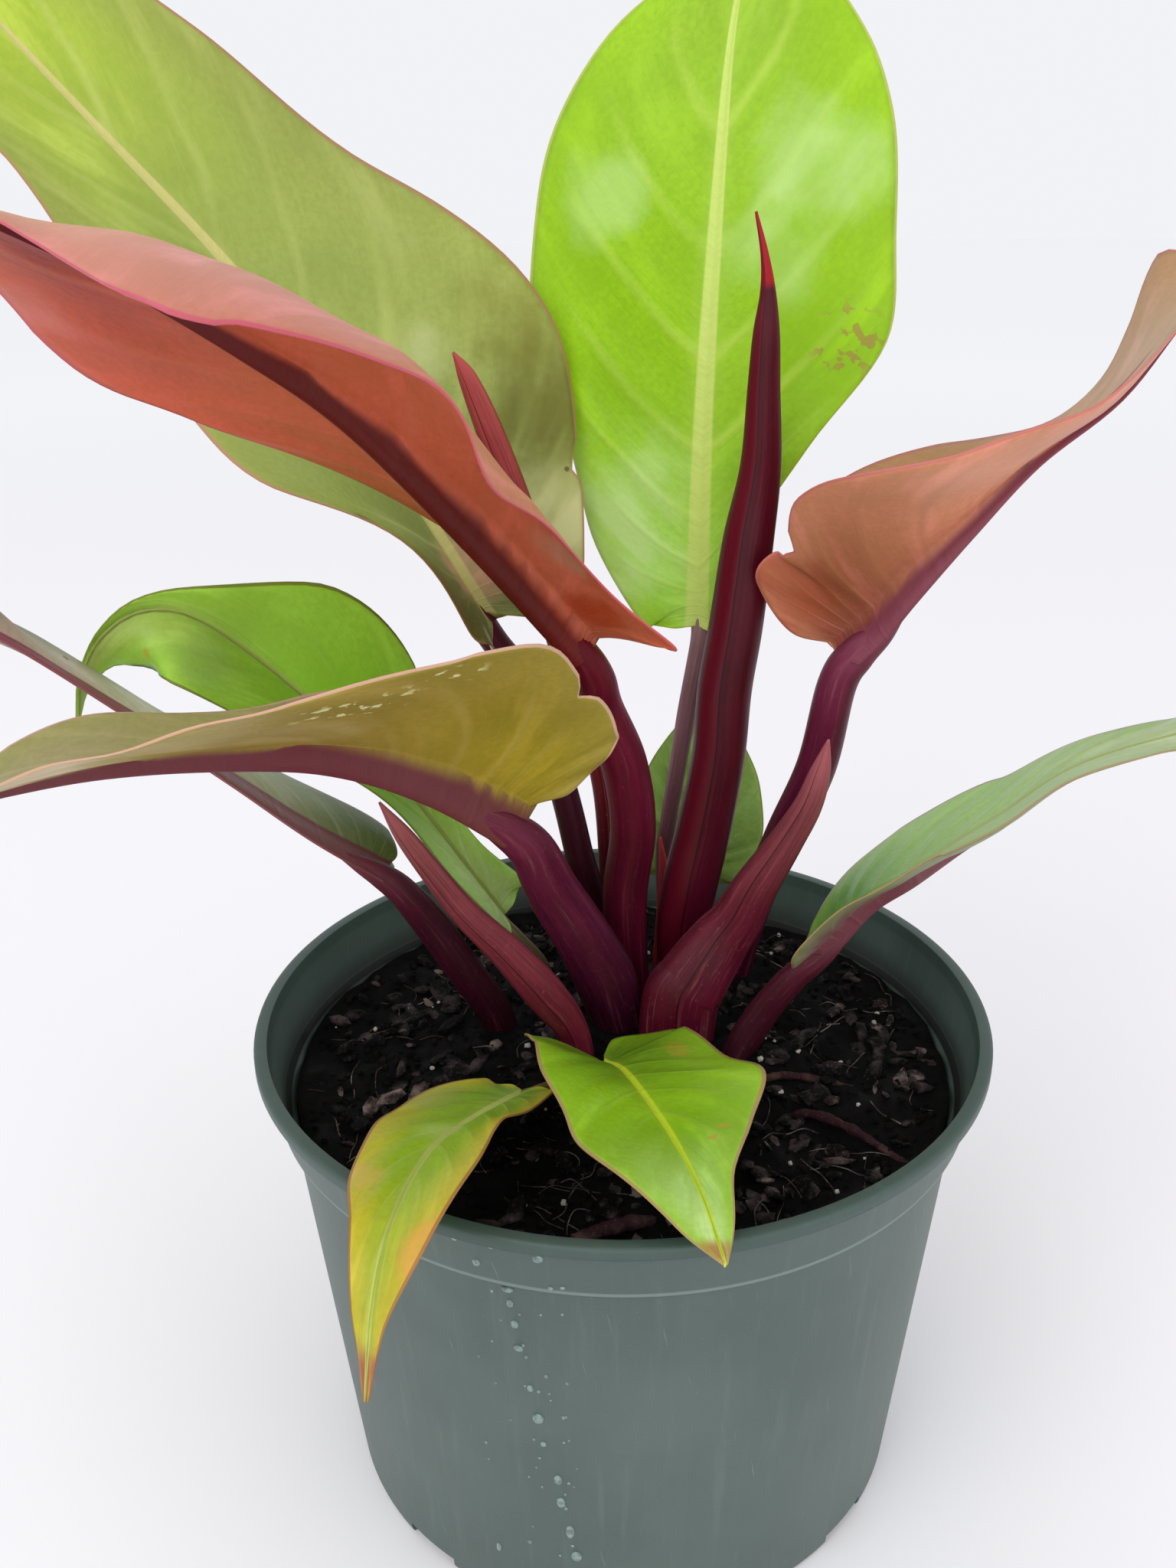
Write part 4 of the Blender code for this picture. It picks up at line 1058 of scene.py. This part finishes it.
def soil_spot(dice, room):
    """A free place on the soil's top."""
    while True:
        reach = (SOIL_RADIUS - 1.5 - room) * math.sqrt(dice.random())
        turn = dice.uniform(0, TURN)
        x, y = reach * math.cos(turn), reach * math.sin(turn)
        if clear_of_stems(x, y, room):
            return x, y


def scatter(name, seed, count, sizes, proportions, sunk, roundness, finish):
    """Small lumps of one kind, tumbled and part sunk in the soil."""
    dice = random.Random(seed)
    shape = bmesh.new()
    for _ in range(count):
        size = dice.uniform(*sizes)
        x, y = soil_spot(dice, size * 0.5)
        made = bmesh.ops.create_icosphere(shape, subdivisions=roundness, radius=0.5)["verts"]
        long, broad, tall = (dice.uniform(*span) * size for span in proportions)
        tumble = (Matrix.Rotation(dice.uniform(0, 6.28), 3, "Z")
                  @ Matrix.Rotation(dice.gauss(0, TUMBLE), 3, "X")
                  @ Matrix.Rotation(dice.gauss(0, TUMBLE), 3, "Y"))
        rise = soil_height(x, y) + crumble(x, y) + tall * (0.5 - sunk)
        for vert in made:
            jag = 1 + dice.uniform(-JAG, JAG)
            local = Vector((vert.co.x * long, vert.co.y * broad, vert.co.z * tall)) * jag
            vert.co = (tumble @ local + Vector((x, y, rise))) * MM
    bmesh.ops.recalc_face_normals(shape, faces=shape.faces)
    return finish_shape(name, shape, [soil_finish(*finish)], [], smooth=False)


def add_fine_roots():
    """Thin pale roots that wander over the soil."""
    dice = random.Random(31)
    shape = bmesh.new()
    for _ in range(FINE_ROOT_COUNT):
        x, y = soil_spot(dice, 3)
        heading = dice.uniform(0, TURN)
        points = []
        for _ in range(dice.randint(4, 8)):
            lift = dice.uniform(-0.4, 0.9)
            points.append((x, y, soil_height(x, y) + crumble(x, y) + lift))
            heading += dice.gauss(0, 0.35)
            x += FINE_ROOT_STEP * math.cos(heading)
            y += FINE_ROOT_STEP * math.sin(heading)
            if math.hypot(x, y) > SOIL_RADIUS - 2 or not clear_of_stems(x, y, 1.5):
                break
        if len(points) > 2:
            thick = dice.uniform(*FINE_ROOT_THICKNESS)
            radii = [thick] * (len(points) - 1) + [thick * 0.3]
            tube(shape, points, radii, (1, 1), 4 * len(points), sides=6)
    close_ends(shape)
    material = soil_finish("fine_root_skin", (60, 50, 46), (176, 162, 152), 0.8, 0.6)
    return finish_shape("fine_roots", shape, [material], [])


def add_pot():
    """The nursery pot, turned finely, with its drain openings cut."""
    inner = RIM_RADIUS - LIP_WIDTH
    profile = [(0, 0), (BASE_RADIUS - 1.6, 0), (BASE_RADIUS - 0.5, 0.4), (BASE_RADIUS, FOOT_Z),
               (BODY_TOP_RADIUS - 0.05, STEP_Z - 0.8), (BODY_TOP_RADIUS + 0.35, STEP_Z - 0.2),
               (COLLAR_LOW_RADIUS - 0.5, STEP_Z + 0.1), (COLLAR_LOW_RADIUS, COLLAR_LOW_Z),
               (COLLAR_TOP_RADIUS, LIP_LOW_Z - 0.9), (COLLAR_TOP_RADIUS + 0.4, LIP_LOW_Z - 0.3),
               (RIM_RADIUS - 0.5, LIP_LOW_Z), (RIM_RADIUS, LIP_LOW_Z + 0.5),
               (RIM_RADIUS, POT_HEIGHT - 0.7), (RIM_RADIUS - 0.2, POT_HEIGHT - 0.2),
               (RIM_RADIUS - 0.8, POT_HEIGHT), (inner + 0.7, POT_HEIGHT),
               (inner + 0.2, POT_HEIGHT - 0.15), (inner, POT_HEIGHT - 0.7),
               (COLLAR_LOW_RADIUS - WALL, COLLAR_LOW_Z + 0.4), (SOIL_RADIUS, STEP_Z - 1.0),
               (BASE_RADIUS - WALL, FLOOR), (0, FLOOR)]
    piece = finish_shape("nursery_pot", spun(profile, POT_SIDES), [pot_finish()], ["pot"])
    cutters = bmesh.new()
    for k in range(DRAINS):
        made = bmesh.ops.create_cube(cutters, size=1)["verts"]
        place = (Matrix.Rotation(TURN * (k + DRAIN_START) / DRAINS, 4, "Z")
                 @ Matrix.Translation((BASE_RADIUS * MM, 0, 0))
                 @ Matrix.Diagonal((*(size * MM for size in DRAIN_SIZE), 1)))
        bmesh.ops.transform(cutters, matrix=place, verts=made)
    tool = finish_mesh("drain_cutter", cutters, [])
    step = piece.modifiers.new("drains", "BOOLEAN")
    step.operation = "DIFFERENCE"
    step.solver = "EXACT"
    step.object = tool
    bpy.context.view_layer.update()
    graph = bpy.context.evaluated_depsgraph_get()
    piece.data = bpy.data.meshes.new_from_object(piece.evaluated_get(graph))
    piece.modifiers.clear()
    bpy.data.objects.remove(tool, do_unlink=True)
    piece.data.set_sharp_from_angle(angle=math.radians(POT_CREASE))
    return piece


def front_radius(z):
    """Outer radius of the pot at a height."""
    if z > COLLAR_LOW_Z:
        share = (z - COLLAR_LOW_Z) / (LIP_LOW_Z - COLLAR_LOW_Z)
        return COLLAR_LOW_RADIUS + (COLLAR_TOP_RADIUS - COLLAR_LOW_RADIUS) * share
    return BASE_RADIUS + (BODY_TOP_RADIUS - BASE_RADIUS) * (z - FOOT_Z) / (STEP_Z - FOOT_Z)


def add_drops():
    """Water drops that ran down the front of the pot, and finer ones around them."""
    dice = random.Random(12)
    drops = list(DROPS)
    for _ in range(FINE_DROP_COUNT):
        z = dice.uniform(*FINE_DROP_HEIGHTS)
        size = dice.uniform(*FINE_DROP_SIZES)
        x = TRAIL_FOOT + TRAIL_LEAN * z + dice.gauss(0, FINE_DROP_SPREAD)
        drops.append((x, z, size, size * dice.uniform(0.9, 1.3)))
    shape = bmesh.new()
    for x, z, across, tall in drops:
        radius = front_radius(z)
        made = bmesh.ops.create_icosphere(shape, subdivisions=3, radius=1)["verts"]
        place = (Matrix.Rotation(math.asin(x / radius), 4, "Z")
                 @ Matrix.Translation((0, -radius * MM, z * MM))
                 @ Matrix.Diagonal((across * MM, across * DROP_DEPTH * MM, tall * MM, 1)))
        bmesh.ops.transform(shape, matrix=place, verts=made)
        for vert in made:
            turn = math.atan2(vert.co.y, vert.co.x)
            flat = (radius - DROP_SUNK) * MM
            if math.hypot(vert.co.x, vert.co.y) < flat:
                vert.co.x, vert.co.y = flat * math.cos(turn), flat * math.sin(turn)
    return finish_shape("water_drops", shape, [drop_finish()], [])


def add_stage():
    """The floor, the sky and the soft lights."""
    shape = bmesh.new()
    bmesh.ops.create_circle(shape, cap_ends=True, segments=FLOOR_SIDES, radius=FLOOR_RADIUS)
    floor = finish_mesh("floor", shape, [floor_finish()])
    world = bpy.data.worlds.new("studio")
    world.use_nodes = True
    background = world.node_tree.nodes["Background"]
    background.inputs["Color"].default_value = SKY
    background.inputs["Strength"].default_value = SKY_STRENGTH
    bpy.context.scene.world = world
    bpy.context.scene.view_settings.view_transform = "Standard"
    for name, place, target, size, power in LIGHTS:
        light = bpy.data.lights.new(name, "AREA")
        light.shape = "DISK"
        light.size = size
        light.energy = power
        lamp = add_object(name, light)
        lamp.location = place
        lamp.rotation_euler = (Vector(target) - Vector(place)).to_track_quat("-Z", "Y").to_euler()


def add_camera():
    """The camera where the photograph was taken from."""
    yaw, down, roll = (math.radians(a) for a in (CAMERA_YAW, CAMERA_DOWN, CAMERA_ROLL))
    ahead = Vector((math.sin(yaw) * math.cos(down), math.cos(yaw) * math.cos(down),
                    -math.sin(down)))
    level = Vector((math.cos(yaw), -math.sin(yaw), 0))
    over = level.cross(ahead)
    right = level * math.cos(roll) + over * math.sin(roll)
    up = over * math.cos(roll) - level * math.sin(roll)
    data = bpy.data.cameras.new("camera")
    data.lens = FOCAL_PIXELS / IMAGE_HEIGHT * SENSOR
    data.sensor_width = SENSOR
    data.clip_start = 0.01
    camera = add_object("camera", data)
    turn = Matrix((right, up, -ahead)).transposed()
    camera.matrix_world = Matrix.Translation(Vector(CAMERA_PLACE) * MM) @ turn.to_4x4()
    bpy.context.scene.camera = camera


STANDING = ([(leaf["petiole"][:2], leaf["radii"][:2]) for leaf in LEAVES.values()]
            + [(spear[0][:2], spear[1][:2]) for spear in SPEARS.values()]
            + [*ROOTS.values()])

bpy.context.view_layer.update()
add_camera()
add_stage()
add_pot()
add_soil()
for loose in LOOSE:
    scatter(*loose)
add_fine_roots()
for name, leaf in LEAVES.items():
    add_stem("petiole_" + name, *petiole_path(leaf), PETIOLE_FLAT)
    add_blade(name, leaf)
for name, (points, radii, flat) in SPEARS.items():
    add_stem(name, points, radii, flat, overlap=ROLL_OVERLAP, seam_turn=SEAM_TURN)
root_skin = soil_finish("root_skin", (46, 24, 28), (128, 98, 90), 0.75, 0.45)
for name, (points, radii) in ROOTS.items():
    add_root(name, points, radii, root_skin)
add_drops()
